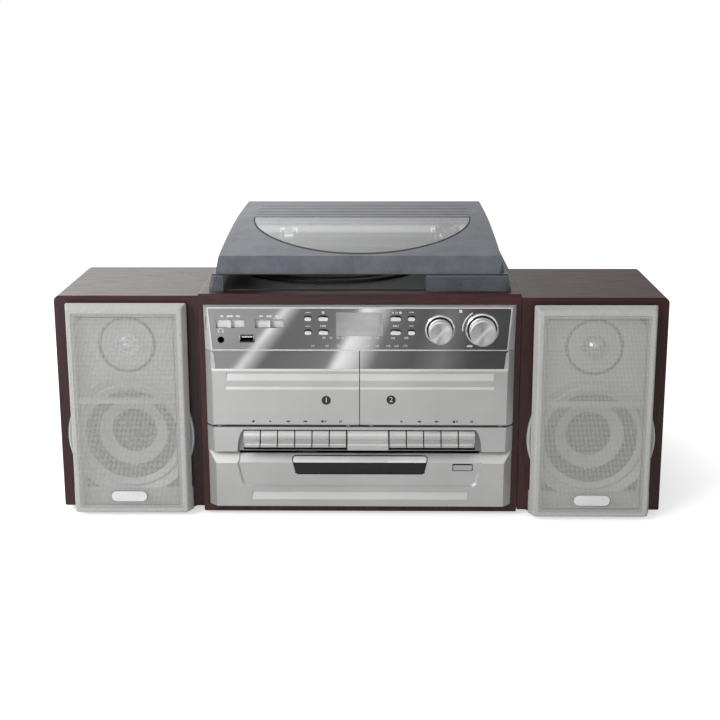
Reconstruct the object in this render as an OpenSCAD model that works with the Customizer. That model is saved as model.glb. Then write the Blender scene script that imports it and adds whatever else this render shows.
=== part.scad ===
// Stereo music centre: record player, radio, twin cassette deck and disc
// player in one wooden case, between two shelf loudspeakers.
// X runs to the right, Y to the back, Z up. Sizes are in millimetres.
// Inside the modules Y = 0 is the front of the case and Z = 0 its underside.

/* [Wooden case] */
// Width of the main case
case_w = 330; // [327:1:340]
// Depth of the main case
case_d = 350; // [345:1:370]
// Height of the main case, without its feet
case_h = 234.5; // [233.5:0.5:245]
// Thickness of the side boards
side_board = 12; // [9:0.5:12]
// Thickness of the top board
top_board = 12; // [9:0.5:12]
// Thickness of the base board
base_board = 8; // [6:0.5:8]
// Rounding of the boards along the long edges
board_edge_r = 1.5; // [1:0.25:3]
// Height of a rubber foot
foot_h = 4; // [3:0.5:8]
// Radius of a rubber foot
foot_r = 9; // [6:0.5:12]

/* [Fascia] */
// How much wood shows beside the fascia
fascia_reveal = 5; // [4:0.5:7]
// How far the fascia stands out of the case
fascia_proud = 8.5; // [7.5:0.5:10]
// Width of the sloping side of the fascia
side_bevel = 8.5; // [7:0.5:10]
// Height of the lowest edge of the fascia over the case's underside
fascia_lift = 8.6; // [8:0.2:10]
// Height of the disc player fascia
disc_fascia_h = 59.6; // [59:0.2:61]
// Height of the piano key frame
key_frame_h = 26.5; // [26:0.25:28]
// Height of a cassette door
door_h = 79.5; // [78:0.5:80]
// Height of the control panel
control_h = 46; // [45:0.5:47]
// Open line between two fascia mouldings
seam = 0.4; // [0.3:0.1:0.6]
// Gap under the doors, where they tip out
door_gap = 2; // [1.8:0.1:2.5]
// Wall of the fascia mouldings
moulding_wall = 2; // [1.5:0.25:2.5]

/* [Control panel] */
// Thickness of the dark mirror lens
lens_t = 1.5; // [1:0.25:2]
// Radius of the tuning knob
tuning_r = 12.4; // [11:0.2:13]
// Radius of the volume knob
volume_r = 14; // [13:0.2:14.6]
// How far a knob stands out of the panel
knob_proud = 18.5; // [14:0.5:20]
// Width of the dish and its rim round a knob
knob_ring = 3; // [2.5:0.25:3.5]
// Height of an oval button's opening
button_slot_h = 5.8; // [5:0.2:6.4]
// Height of an oval button's cap
button_cap_h = 3.7; // [3:0.1:4.4]
// Travel of the buttons
button_travel = 1; // [0.6:0.1:1.5]
// Opening of a slide switch
switch_slot = 29; // [26:0.5:30]
// Travel of a slide switch each way from its middle
switch_travel = 9; // [6:0.5:9]
// Bore of the headphone socket
jack_bore_r = 3.25; // [3.2:0.05:3.4]
// Width of the memory stick socket
usb_w = 15.9; // [15:0.1:17]
// Height of the memory stick socket
usb_h = 8.3; // [8:0.1:9]

/* [Piano keys] */
// Distance from one key to the next
key_pitch = 17.9; // [17.5:0.1:18]
// Gap between two keys
key_gap = 1.1; // [0.8:0.1:1.4]
// Height of a key's front
key_h = 15.5; // [15:0.1:16]
// How far a key's lower lip stands out of the case
key_reach = 18; // [16:0.5:20]
// Distance of the key pivot behind the case front
key_pivot_y = 45; // [40:1:50]
// Radius of the key shafts
key_shaft_r = 2; // [1.5:0.25:2.5]

/* [Cassette decks] */
// Middle of a cassette, from the middle of the case
deck_x = 79.5; // [78:0.25:81]
// Width of a cassette
cassette_w = 102.4; // [102:0.1:103]
// Room for a cassette's thickness in its holder
cassette_room = 13; // [12.5:0.1:14]
// Distance between the two reel spindles
reel_pitch = 42.5; // [42:0.1:43]
// Radius of a door's hinge pins
door_pin_r = 1.5; // [1.25:0.05:1.6]

/* [Disc player] */
// Width of the tray's front along its top edge
tray_front_w = 140; // [136:0.5:142]
// Height of the tray's front
tray_front_h = 17.6; // [17:0.2:18.4]
// Length of the tray behind its front
tray_d = 150; // [146:1:160]
// Radius of the disc recess
disc_r = 60.4; // [60.2:0.1:60.8]
// Thickness of the tray
tray_t = 5; // [4.5:0.1:5.4]

/* [Turntable] */
// Radius of the platter
platter_r = 100; // [92:1:100]
// Gap round the platter in its well
well_gap = 3; // [2:0.25:4]
// Middle of the platter, behind the case front
platter_y = 150; // [148:1:156]
// Radius of the record spindle
spindle_r = 3.6; // [3.5:0.05:3.6]
// Radius of the platter's bearing shaft
bearing_r = 4; // [3:0.25:5]
// Radius of the motor pulley
pulley_r = 5.5; // [4.5:0.25:6]
// Pivot of the tonearm, right of the middle of the case
arm_x = 101; // [99:1:104]
// Pivot of the tonearm, behind the case front
arm_y = 262; // [258:1:266]
// Length of the tonearm from its pivot to the stylus
arm_l = 187; // [182:1:190]
// Radius of the tonearm tube
arm_r = 3; // [2.5:0.25:3.5]

/* [Lid] */
// Width of the lid along its lower edge
lid_w = 312; // [308:1:314]
// Distance of the lid behind the case front
lid_front = 10; // [8:0.5:12]
// Distance of the lid from the back of the case
lid_back = 4; // [4:0.5:6]
// Height of the skirt along the lid's lower edge
skirt_h = 18; // [16:0.5:20]
// Height of the lid's front edge over its lower edge
lid_front_h = 36; // [34:0.5:38]
// Height of the lid's crown over its lower edge
lid_crown_h = 50.5; // [48:0.5:53]
// Wall of the lid
lid_wall = 2.5; // [2:0.25:3]

/* [Loudspeakers] */
// Width of a loudspeaker case
speaker_w = 150; // [146:1:160]
// Depth of a loudspeaker case
speaker_d = 164; // [150:1:180]
// Height of a loudspeaker case, without its feet
speaker_h = 228.5; // [226:0.5:235]
// Height of a loudspeaker's feet
speaker_foot_h = 6; // [4:0.5:8]
// Thickness of the loudspeaker boards
speaker_board = 10; // [8:0.5:12]
// How far the left loudspeaker stands behind the case front
left_set_back = 10; // [4:1:16]
// How far the right loudspeaker stands behind the case front
right_set_back = 1; // [0:1:6]
// Gap between a loudspeaker and the main case
speaker_gap = 0.5; // [0.4:0.1:0.8]
// Width of the grille frame where it meets the case
grille_w = 125; // [122:0.5:128]
// How far the grille stands out of the loudspeaker
grille_proud = 20; // [16:0.5:22]
// Sloping margin of the grille frame
grille_bevel = 3.5; // [2.5:0.5:5]
// Radius of the silver ring round the woofer
woofer_ring_r = 66.5; // [65:0.5:68]
// Radius of the woofer's cone
cone_r = 36; // [34:0.5:38]
// Radius of the woofer's dust cap
cap_r = 19.5; // [16:0.25:22]
// Radius of the tweeter's plate
tweeter_r = 30; // [28:0.5:32]

/* [Hidden] */
$fn = 64;

// Clearances
slide_gap = 0.3;
run_gap = 0.05;
fit_gap = 0.1;
eps = 0.01;

// Height levels of the fascia, from the case's underside
disc_z0 = fascia_lift;
disc_z1 = disc_z0 + disc_fascia_h;
key_z0 = disc_z1 + seam;
key_z1 = key_z0 + key_frame_h;
door_z0 = key_z1 + door_gap;
door_z1 = door_z0 + door_h;
control_z0 = door_z1 + seam;
control_z1 = control_z0 + control_h;

// Fascia outline
fascia_x = case_w / 2 - fascia_reveal;
front_x = fascia_x - side_bevel;
front_y = -fascia_proud;
disc_front_x = front_x - 1.5;

// Frame of the whole set: origin under its middle, on the shelf
knob_front_y = front_y - knob_proud;
middle_y = (knob_front_y + case_d) / 2;

// Case openings and feet
foot_inset = 25;
foot_x = [-case_w / 2 + foot_inset, case_w / 2 - foot_inset];
foot_y = [foot_inset, case_d - foot_inset];
deck_half_x = lid_w / 2 - 16;
deck_y0 = 20;
deck_y1 = case_d - 18;

// Rear panel and its sockets
rear_y = case_d - 6;
rear_t = 3;
socket_z = base_board + 40;
socket_x = [-60, -46];
phono_r = 4.15;
phono_bore_r = 1.6;
terminal_x = [60, 72, 92, 104];
mains_gland_x = -120;
aerial_gland_x = 10;

// Turntable levels
deck_top = case_h + 1.5;
well_floor = case_h - 13.5;
platter_top = case_h + 5.5;
mat_t = 2.5;
mat_top = platter_top + mat_t;
hub_r = 12;
spindle_h = 8;
mat_ribs = 11;
arm_z = case_h + 21.5;

// Turntable layout; the well just fits between the edges of the case's opening
well_wall = 1.9;
well_r = platter_r + well_gap;
platter_x = -(deck_half_x - fit_gap - well_wall - well_r);
motor_dx = 55;
motor_dy = -55;
sub_ring_r = 62;
belt_z = well_floor + 5.5;
rest_y = arm_y - 95;
head_angle = 22;
cue_x = deck_half_x - 14;
cue_y = arm_y - 34;
cue_z = deck_top + 5;
speed_x = deck_half_x - 30;
speed_y = 42;

// Control layout, measured from the bottom of the control panel
knob_z = control_z0 + 22;
tuning_x = 82;
volume_x = 124.8;
switch_z = control_z0 + 28.2;
function_x = -131.9;
band_x = -91.9;
jack_x = -141.6;
jack_z = control_z0 + 11.2;
usb_x = -115;
usb_z = control_z0 + 12.6;
panel_back = front_y + lens_t + moulding_wall;
board_y = 12;
board_t = 1.6;
knob_rim_t = 2.2;
shaft_r = 3;
jack_body_r = 4.5;
switch_stand = 2;

// Slide switches
switch_slot_h = 9;
switch_wall = 0.6;
shutter_t = 0.8;
shutter_h = 11;
shutter_x = switch_slot / 2 + switch_travel + 1;

// Mirror lens, wider along its top
lens_low_x = front_x - 1;
lens_high_x = front_x + 2.6;
lens_z0 = control_z0 + 1.2;
lens_z1 = control_z1 - 2.2;

// Oval buttons: middle X, height over the panel's lower edge, width
upper_row = 33.9;
lower_row = 19.5;
oval_buttons = [
  [-52.4, upper_row, 7.8],
  [-36.8, upper_row, 10.8],
  [-52.4, lower_row, 7.8],
  [-36.8, lower_row, 10.8],
  [36.9, upper_row, 11.4],
  [53, upper_row, 8],
  [36.9, lower_row, 11.4],
  [53, lower_row, 8]
];

// Key banks
bank_1_x = -121;
bank_1_keys = 6;
bank_2_x = 30.5;
bank_2_keys = 5;
bank_1_end = bank_1_x + bank_1_keys * key_pitch;
bank_2_end = bank_2_x + bank_2_keys * key_pitch;
key_top = key_z1 - 3.5;
key_pivot_z = key_top - 6;
key_floor_y = front_y + 4;

// Door hinge axis
hinge_y = front_y + 4;
hinge_z = door_z0 + 2.7;
door_back = -0.5;
reel_z = door_z0 + 35.5;
well_depth = 22;
hinge_places = [12, 146];
strip_z0 = door_z0 + 60.3;
strip_z1 = door_z1 - 2.3;
strip_set_back = 1.2;

// Tray
tray_z1 = disc_z1 - 6.6;
tray_z0 = tray_z1 - tray_front_h;
tray_floor_z = tray_z0 + 2;
tray_half = 64.5;
disc_y = 82;
pane_depth = 2.5;
pane_rim = 1.6;
pane_foot_z = disc_z0 + 21.6;
tray_gap = 1;
fascia_crease = 12.2;
disc_front_y = front_y - 0.5;
open_x = 107.3;
open_w = 21.7;
open_z = disc_z1 - 17.2;
open_h = 7.9;

// Lid levels
lid_z0 = case_h + 0.5;
lid_y1 = case_d - lid_back;
lid_step = 2.5;
lid_draft = 4.5;
lid_pin_r = 2;
lid_pin_y = lid_y1 - 4;
lid_pin_z = lid_z0 + 6;
lid_hinges = [-95, 95];
lid_corner_r = 9;

// Clear window of the lid, and the grooves across its back
window_y = platter_y + 50;
window_half = lid_w / 2 - 32;
window_depth = window_y - lid_front - 13;
window_line = 1.2;
groove_y = [34, 60, 86];
groove_half = window_half;

// Loudspeaker fronts
woofer_z = 79.5;
tweeter_z = 178;
surround_r = 48.2;
tweeter_groove = 3.2;
tweeter_hole_r = tweeter_r - 4.2;
baffle_proud = 5;
baffle_half = 52;
baffle_corner = 12;
baffle_z0 = 5.5;
baffle_z1 = tweeter_z + tweeter_r + 3;

// Grilles
grille_h = speaker_h - 4;
grille_drop = 6.6;
grille_z0 = speaker_h - grille_drop - grille_h;
grille_border = 7;
crossbar_z = 120.5;
crossbar_h = 6;
peg_x = grille_w / 2 - grille_border;
peg_z = [30, speaker_h - 32.5];
peg_r = 3;

// ---------------------------------------------------------------- helpers

// Puts a piece into the frame of the whole set
module placed() {
  translate([0, -middle_y, foot_h])
    children();
}

// A block given by its two limits on each axis
module block(x, y, z) {
  translate([x[0], y[0], z[0]])
    cube([x[1] - x[0], y[1] - y[0], z[1] - z[0]]);
}

// An upright plate: a front-view outline between two depths
module upright(y0, y1) {
  translate([0, y1, 0])
    rotate([90, 0, 0])
      linear_extrude(y1 - y0)
        children();
}

// A side-view outline (Y, Z) drawn out between two X positions
module drawn(x0, x1) {
  translate([x0, 0, 0])
    rotate([90, 0, 90])
      linear_extrude(x1 - x0)
        children();
}

// A round piece whose axis points at the listener
module facing(x, y, z) {
  translate([x, y, z])
    rotate([90, 0, 0])
      children();
}

module rounded_rect(x0, x1, z0, z1, r) {
  translate([x0 + r, z0])
    square([x1 - x0 - 2 * r, z1 - z0]);
  translate([x0, z0 + r])
    square([x1 - x0, z1 - z0 - 2 * r]);
  for (x = [x0 + r, x1 - r], z = [z0 + r, z1 - r])
    translate([x, z])
      circle(r);
}

// An oval with round ends, as the button openings have
module oval(x, z, w, h) {
  rounded_rect(x - w / 2, x + w / 2, z - h / 2, z + h / 2, h / 2 - eps);
}

// A solid that narrows from one outline at the back to another in front
module tapered(y_back, y_front, back_outline, front_outline) {
  hull() {
    upright(y_back - eps, y_back)
      polygon(back_outline);
    upright(y_front, y_front + eps)
      polygon(front_outline);
  }
}

// A finger groove: a sharp upper edge that runs out towards the bottom
module finger_groove(x0, x1, z0, z1, face_y, depth) {
  drawn(x0, x1)
    polygon([
      [face_y - 1, z0 - depth / (z1 - z0)],
      [face_y, z0],
      [face_y + depth, z1],
      [face_y - 1, z1]
    ]);
}

// -------------------------------------------------------------- main case

module case() {
  opening_x = case_w / 2 - side_board;
  color([0.20, 0.09, 0.08])
    placed()
      difference() {
        upright(0, case_d)
          rounded_rect(-case_w / 2, case_w / 2, 0, case_h, board_edge_r);
        block([-opening_x, opening_x], [-1, case_d + 1],
            [base_board, case_h - top_board]);
        block([-deck_half_x, deck_half_x], [deck_y0, deck_y1],
            [case_h - top_board - 1, case_h + 1]);
        for (x = foot_x, y = foot_y)
          translate([x, y, -1])
            cylinder(h = 5, r = 1.5);
      }
}

module rubber_feet() {
  color([0.05, 0.05, 0.05])
    placed()
      for (x = foot_x, y = foot_y)
        translate([x, y, -foot_h])
          difference() {
            cylinder(h = foot_h, r1 = foot_r - 1, r2 = foot_r);
            translate([0, 0, -1])
              cylinder(h = foot_h - 0.5, r = 3.5);
          }
}

module rear_panel() {
  inside_x = case_w / 2 - side_board - slide_gap;
  color([0.12, 0.12, 0.13])
    placed()
      difference() {
        block([-inside_x, inside_x], [rear_y, rear_y + rear_t],
            [base_board + slide_gap, case_h - top_board - slide_gap]);
        for (x = [-110 : 8 : -50], row = [0, 1])
          block([x, x + 3], [rear_y - 1, rear_y + rear_t + 1],
              [120 + row * 40, 150 + row * 40]);
        for (x = socket_x)
          facing(x, rear_y + rear_t + 1, socket_z)
            cylinder(h = rear_t + 2, r = phono_r + fit_gap);
        for (x = terminal_x)
          block([x - 5 - fit_gap, x + 5 + fit_gap],
              [rear_y - 1, rear_y + rear_t + 1],
              [socket_z - 8 - fit_gap, socket_z + 8 + fit_gap]);
        for (x = [mains_gland_x, aerial_gland_x])
          facing(x, rear_y + rear_t + 1, socket_z)
            cylinder(h = rear_t + 2, r = 4 + fit_gap);
      }
}

module rear_sockets() {
  color([0.75, 0.72, 0.70])
    placed() {
      for (x = socket_x)
        facing(x, rear_y + rear_t + 2.5, socket_z)
          difference() {
            union() {
              cylinder(h = 14, r = phono_r);
              translate([0, 0, rear_t + 2.5])
                cylinder(h = 8, r = 7.5);
            }
            translate([0, 0, -1])
              cylinder(h = 9, r = phono_bore_r);
          }
      for (x = terminal_x)
        difference() {
          block([x - 5, x + 5], [rear_y - 10, rear_y + rear_t + 2],
              [socket_z - 8, socket_z + 8]);
          facing(x, rear_y + rear_t + 3, socket_z - 4)
            cylinder(h = 9, r = 1.5);
        }
      for (x = [mains_gland_x, aerial_gland_x])
        facing(x, rear_y + rear_t + 2.5, socket_z)
          difference() {
            union() {
              cylinder(h = 10, r = 4);
              translate([0, 0, rear_t + 2.5])
                cylinder(h = 3, r = 6);
            }
            translate([0, 0, -1])
              cylinder(h = 14, r = 2.2);
          }
    }
}

// ---------------------------------------------------------- control panel

function wedge(x_low, x_high, z0, z1) =
  [[-x_low, z0], [x_low, z0], [x_high, z1], [-x_high, z1]];

module lens_outline(grow) {
  polygon(wedge(lens_low_x + grow, lens_high_x + grow, lens_z0 - grow, lens_z1 + grow));
}

// Every opening that the panel and its lens share, seen from the front
module control_openings() {
  for (b = oval_buttons)
    oval(b[0], control_z0 + b[1], b[2], button_slot_h);
  for (x = [function_x, band_x])
    translate([x - switch_slot / 2, switch_z - switch_slot_h / 2])
      square([switch_slot, switch_slot_h]);
  translate([usb_x - usb_w / 2, usb_z - usb_h / 2])
    square([usb_w, usb_h]);
}

module control_panel() {
  x_top = front_x + 3.8;
  color([0.78, 0.78, 0.78])
    placed()
      difference() {
        tapered(0, front_y,
            wedge(fascia_x - 1, fascia_x, control_z0, control_z1),
            wedge(front_x + 0.4, x_top, control_z0, control_z1 - 0.8));
        upright(front_y - 1, front_y + lens_t)
          lens_outline(fit_gap);
        upright(panel_back, 1)
          polygon(wedge(front_x - 6, front_x - 5, control_z0 + 2, control_z1 - 3));
        upright(front_y - 1, 1)
          control_openings();
        shutter_bay();
        facing(tuning_x, 1, knob_z)
          cylinder(h = 12, r = shaft_r + slide_gap);
        facing(volume_x, 1, knob_z)
          cylinder(h = 12, r = shaft_r + slide_gap);
        facing(jack_x, 1, jack_z)
          cylinder(h = 12, r = jack_body_r + fit_gap);
      }
}

// Dark mirror lens with the bright rims of the two knob dishes
module control_lens() {
  color([0.20, 0.20, 0.21])
    placed() {
      difference() {
        upright(front_y, front_y + lens_t - fit_gap)
          lens_outline(0);
        upright(front_y - 1, 0)
          control_openings();
        facing(jack_x, 0, jack_z)
          cylinder(h = 12, r = 3.5);
        for (k = [[tuning_x, tuning_r], [volume_x, volume_r]])
          facing(k[0], 0, knob_z)
            cylinder(h = 12, r = k[1] + knob_ring - 1);
      }
      for (k = [[tuning_x, tuning_r], [volume_x, volume_r]])
        facing(k[0], front_y + lens_t - fit_gap, knob_z)
          rotate_extrude()
            polygon([
              [shaft_r + slide_gap, 0],
              [k[1] + knob_ring - 1, 0],
              [k[1] + knob_ring - 1, lens_t - fit_gap],
              [k[1] + knob_ring, lens_t - fit_gap],
              [k[1] + knob_ring - 0.4, lens_t + knob_rim_t - 0.6],
              [k[1] + knob_ring - 1.1, lens_t + knob_rim_t - fit_gap],
              [k[1] + knob_ring - 1.8, lens_t + knob_rim_t - 0.6],
              [k[1] + 0.6, 0.7],
              [shaft_r + slide_gap, 0.7]
            ]);
    }
}

module knob(x, r) {
  skirt_y = front_y - 0.6;
  color([0.80, 0.80, 0.80])
    placed()
      facing(x, 0, knob_z) {
        rotate_extrude()
          polygon([
            [0, -skirt_y],
            [r - 0.2, -skirt_y],
            [r, -skirt_y + 1],
            [r - 0.5, fascia_proud + knob_proud - 1.2],
            [r - 1.6, fascia_proud + knob_proud],
            [1.4, fascia_proud + knob_proud - 0.5],
            [0, fascia_proud + knob_proud - 0.7]
          ]);
        translate([0, 0, -board_y + 1])
          cylinder(h = board_y - skirt_y, r = shaft_r);
      }
}

module tuning_knob() knob(tuning_x, tuning_r);
module volume_knob() knob(volume_x, volume_r);

// A slide switch: a wide shutter behind the lens and the ridge a finger moves
module slide_switch(x, layer) {
  shutter_y = front_y + lens_t + switch_wall + slide_gap
      + layer * (shutter_t + slide_gap);
  color([0.85, 0.85, 0.85])
    placed() {
      block([x - shutter_x, x + shutter_x], [shutter_y, shutter_y + shutter_t],
            [switch_z - shutter_h / 2, switch_z + shutter_h / 2]);
      drawn(x - 1.2, x + 1.2)
        polygon([
          [shutter_y + eps, switch_z - 4.1],
          [front_y - 2.2, switch_z - 3.6],
          [front_y - 2.2, switch_z + 3.6],
          [shutter_y + eps, switch_z + 4.1]
        ]);
    }
}

// The panel's wall is thinned behind the two shutters
module shutter_bay() {
  block([function_x - shutter_x - 1, band_x + shutter_x + 1],
        [front_y + lens_t + switch_wall, 1],
        [switch_z - shutter_h / 2 - 1, switch_z + shutter_h / 2 + 1]);
}

module function_switch() slide_switch(function_x, 0);
module band_switch() slide_switch(band_x, 1);

// An oval push button: cap, flange behind the panel and stem to its switch
module oval_button(i) {
  b = oval_buttons[i];
  cap_z = control_z0 + b[1] - (button_slot_h - button_cap_h) / 2 + slide_gap;
  flange_y = panel_back + slide_gap;
  color([0.92, 0.92, 0.92])
    placed() {
      upright(front_y - 1.6, flange_y)
        oval(b[0], cap_z, b[2] - 2 * slide_gap - 0.4, button_cap_h);
      upright(flange_y, flange_y + 1)
        oval(b[0], cap_z, b[2] + 1.6, button_cap_h + 1.6);
      facing(b[0], board_y - switch_stand - button_travel, cap_z)
        cylinder(h = board_y - switch_stand - button_travel - flange_y, r = 1.6);
    }
}

module source_button() oval_button(0);
module timer_button() oval_button(1);
module clock_button() oval_button(2);
module skip_back_button() oval_button(3);
module play_button() oval_button(4);
module stop_button() oval_button(5);
module skip_on_button() oval_button(6);
module mode_button() oval_button(7);

// ---------------------------------------------------------- piano key row

// Side view of what shows of a key: lower lip, crease and bullnose
key_foot = key_top - key_h;
key_face = [
  [-key_reach, key_foot + 2.4],
  [-key_reach + 0.8, key_foot + 3.6],
  [-key_reach + 5.6, key_top - 10.2],
  [-key_reach + 5.2, key_top - 7.4],
  [-key_reach + 5.6, key_top - 4.6],
  [-key_reach + 6.8, key_top - 2.2],
  [-key_reach + 8.8, key_top - 0.6],
  [-key_reach + 11, key_top]
];

// The whole key, with the arm to its pivot
key_profile = concat(
  [
    [key_pivot_y, key_pivot_z - 4],
    [-key_reach + 8.5, key_pivot_z - 4],
    [-key_reach + 8.5, key_foot],
    [-key_reach, key_foot]
  ],
  key_face,
  [[2, key_top], [key_pivot_y, key_pivot_z + 4.5]]
);

// turn_end is -1 or 1 where the key closes the bank on that side, else 0
module piano_key(bank_x, i, turn_end) {
  x0 = bank_x + i * key_pitch + key_gap / 2;
  x1 = x0 + key_pitch - key_gap;
  color([0.80, 0.80, 0.80])
    placed()
      difference() {
        union() {
          drawn(x0, x1)
            polygon(key_profile);
          translate([x0, key_pivot_y, key_pivot_z])
            rotate([0, 90, 0])
              cylinder(h = x1 - x0, r = 4.5);
        }
        translate([x0 - 1, key_pivot_y, key_pivot_z])
          rotate([0, 90, 0])
            cylinder(h = x1 - x0 + 2, r = key_shaft_r + run_gap);
        if (turn_end != 0)
          key_end(turn_end < 0 ? x0 : x1, turn_end, 4);
      }
}

// What is taken off the outer end of a bank's last key
module key_end(x, side, r) {
  translate([x, -key_reach, key_foot - 1])
    linear_extrude(key_h + 2)
      difference() {
        translate([side > 0 ? -r : -1, -1])
          square([r + 1, r + 1]);
        translate([-side * r, r])
          circle(r);
      }
}

module record_key() piano_key(bank_1_x, 0, -1);
module play_key_1() piano_key(bank_1_x, 1, 0);
module rewind_key_1() piano_key(bank_1_x, 2, 0);
module wind_key_1() piano_key(bank_1_x, 3, 0);
module stop_key_1() piano_key(bank_1_x, 4, 0);
module pause_key_1() piano_key(bank_1_x, 5, 0);
module play_key_2() piano_key(bank_2_x, 0, 0);
module rewind_key_2() piano_key(bank_2_x, 1, 0);
module wind_key_2() piano_key(bank_2_x, 2, 0);
module stop_key_2() piano_key(bank_2_x, 3, 0);
module pause_key_2() piano_key(bank_2_x, 4, 1);

// Front view of the sunk bay round the keys
module key_bay_outline() {
  polygon([
    [bank_1_x - 6.5, key_z0 - 1],
    [bank_1_x - 6, key_z0 + 8],
    [bank_1_x - 4.6, key_z0 + 15],
    [bank_1_x - 2.4, key_z0 + 20.5],
    [bank_1_x + 0.5, key_top + 0.8],
    [bank_2_end - 0.5, key_top + 0.8],
    [bank_2_end + 2.4, key_z0 + 20.5],
    [bank_2_end + 4.6, key_z0 + 15],
    [bank_2_end + 6, key_z0 + 8],
    [bank_2_end + 6.5, key_z0 - 1]
  ]);
}

// Frame round the keys, with the fixed bar between the banks, the two key
// shafts on their brackets and the ears that carry the cassette doors
module key_frame() {
  bar_foot = key_foot - 3;
  color([0.76, 0.76, 0.76])
    placed() {
      difference() {
        union() {
          tapered(0, front_y,
              wedge(fascia_x - 1, fascia_x - 1, key_z0, key_z1),
              wedge(front_x - 0.5, front_x, key_z0, key_z1));
          block([-front_x + 4, front_x - 4], [-1, well_depth], [key_z1 - 3, key_z1]);
        }
        upright(front_y - 1, key_floor_y)
          key_bay_outline();
        for (b = [[bank_1_x, bank_1_end], [bank_2_x, bank_2_end]])
          block([b[0] - slide_gap, b[1] + slide_gap], [front_y - 1, 1],
              [key_z0 + 1, key_top + 0.6]);
      }
      drawn(bank_1_end + key_gap, bank_2_x - key_gap)
        polygon(concat([[0, bar_foot], [-key_reach, bar_foot]], key_face, [[0, key_top]]));
      for (b = [[bank_1_x, bank_1_end], [bank_2_x, bank_2_end]]) {
        for (x = [b[0] - 3.5, b[1] + 0.5])
          block([x, x + 3], [-1, key_pivot_y + 5], [key_pivot_z - 5, key_pivot_z + 5]);
        translate([b[0] - 3, key_pivot_y, key_pivot_z])
          rotate([0, 90, 0])
            cylinder(h = b[1] - b[0] + 6, r = key_shaft_r);
      }
      for (side = [-1, 1], x = hinge_places)
        door_ear(side * x);
    }
}

module door_ear(x) {
  difference() {
    union() {
      block([x - 1.5, x + 1.5], [hinge_y + 0.6, 0.7], [key_z1 - 1, hinge_z]);
      translate([x - 1.5, hinge_y, hinge_z])
        rotate([0, 90, 0])
          cylinder(h = 3, r = 2.4);
    }
    translate([x - 2, hinge_y, hinge_z])
      rotate([0, 90, 0])
        cylinder(h = 4, r = door_pin_r + run_gap);
  }
}

// ---------------------------------------------------------- cassette doors

// The right-hand door; the left one is its mirror image
module door_moulding() {
  inner_x = 0.4;
  strip_x = front_x - 1.4;
  difference() {
    union() {
      tapered(door_back, front_y,
          [[inner_x, door_z0], [fascia_x - 1, door_z0],
           [fascia_x - 1, door_z1], [inner_x, door_z1]],
          [[inner_x, door_z0], [front_x, door_z0],
           [front_x + 0.3, door_z1], [inner_x, door_z1]]);
      cassette_holder();
    }
    // the lower edge is turned so that it clears the key frame
    drawn(0, fascia_x)
      difference() {
        translate([front_y - 1, door_z0 - 1])
          square([2.5, 2.5]);
        translate([front_y + 1.5, door_z0 + 1.5])
          circle(1.5);
      }
    // its back corner is turned too, so that it swings clear of the case
    drawn(-1, fascia_x)
      difference() {
        translate([hinge_y, door_z0 - 1])
          square([1 - hinge_y, hinge_z - door_z0 + 1]);
        translate([hinge_y, hinge_z])
          circle(door_back - hinge_y);
      }
    // the mirror strip lies behind the face, over a sloping ledge
    drawn(-1, fascia_x)
      polygon([
        [front_y - 1, strip_z0 - 2],
        [front_y, strip_z0 - 2],
        [front_y + strip_set_back, strip_z0],
        [front_y + strip_set_back, door_z1 + 1],
        [front_y - 1, door_z1 + 1]
      ]);
    upright(front_y, front_y + 2)
      polygon([[-1, strip_z0], [strip_x - 1.8, strip_z0],
           [strip_x, strip_z1], [-1, strip_z1]]);
    finger_groove(-1, front_x - 14, strip_z0 - 12.2, strip_z0 - 3.9, front_y, 2.4);
    finger_groove(-1, front_x - 13, strip_z0 - 21.8, strip_z0 - 18.2, front_y, 1.2);
    for (x = hinge_places)
      block([x - 2, x + 2], [front_y + 1.2, 1], [door_z0 - 1, hinge_z + 4]);
  }
  for (x = hinge_places)
    translate([x - 2.5, hinge_y, hinge_z])
      rotate([0, 90, 0])
        cylinder(h = 5, r = door_pin_r);
  // dark mirror strip
  upright(front_y + strip_set_back, front_y + 2 - fit_gap)
    polygon([[inner_x, strip_z0 + fit_gap], [strip_x - 1.8 - fit_gap, strip_z0 + fit_gap],
         [strip_x - fit_gap, strip_z1 - fit_gap], [inner_x, strip_z1 - fit_gap]]);
}

// Two channels behind the door that hold the cassette by its edges
module cassette_holder() {
  half = cassette_w / 2 + 0.4;
  back = cassette_room + 0.5;
  z0 = door_z0 + 4.2;
  for (side = [-1, 1])
    translate([deck_x, 0, 0])
      mirror([side < 0 ? 1 : 0, 0, 0]) {
        block([half, half + 2], [door_back - 1, back], [z0, z0 + 62]);
        block([half - 5, half + 1], [back - 1.5, back], [z0, z0 + 62]);
        block([half - 16, half + 1], [door_back - 1, back], [z0, z0 + 2.5]);
      }
}

module right_door() {
  color([0.78, 0.78, 0.78])
    placed()
      door_moulding();
}

module left_door() {
  color([0.78, 0.78, 0.78])
    placed()
      mirror([1, 0, 0])
        door_moulding();
}

// Two cassette wells with their reel spindles, capstans, heads and motors
module cassette_decks() {
  color([0.10, 0.10, 0.11])
    placed() {
      cassette_deck();
      mirror([1, 0, 0])
        cassette_deck();
    }
}

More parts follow.
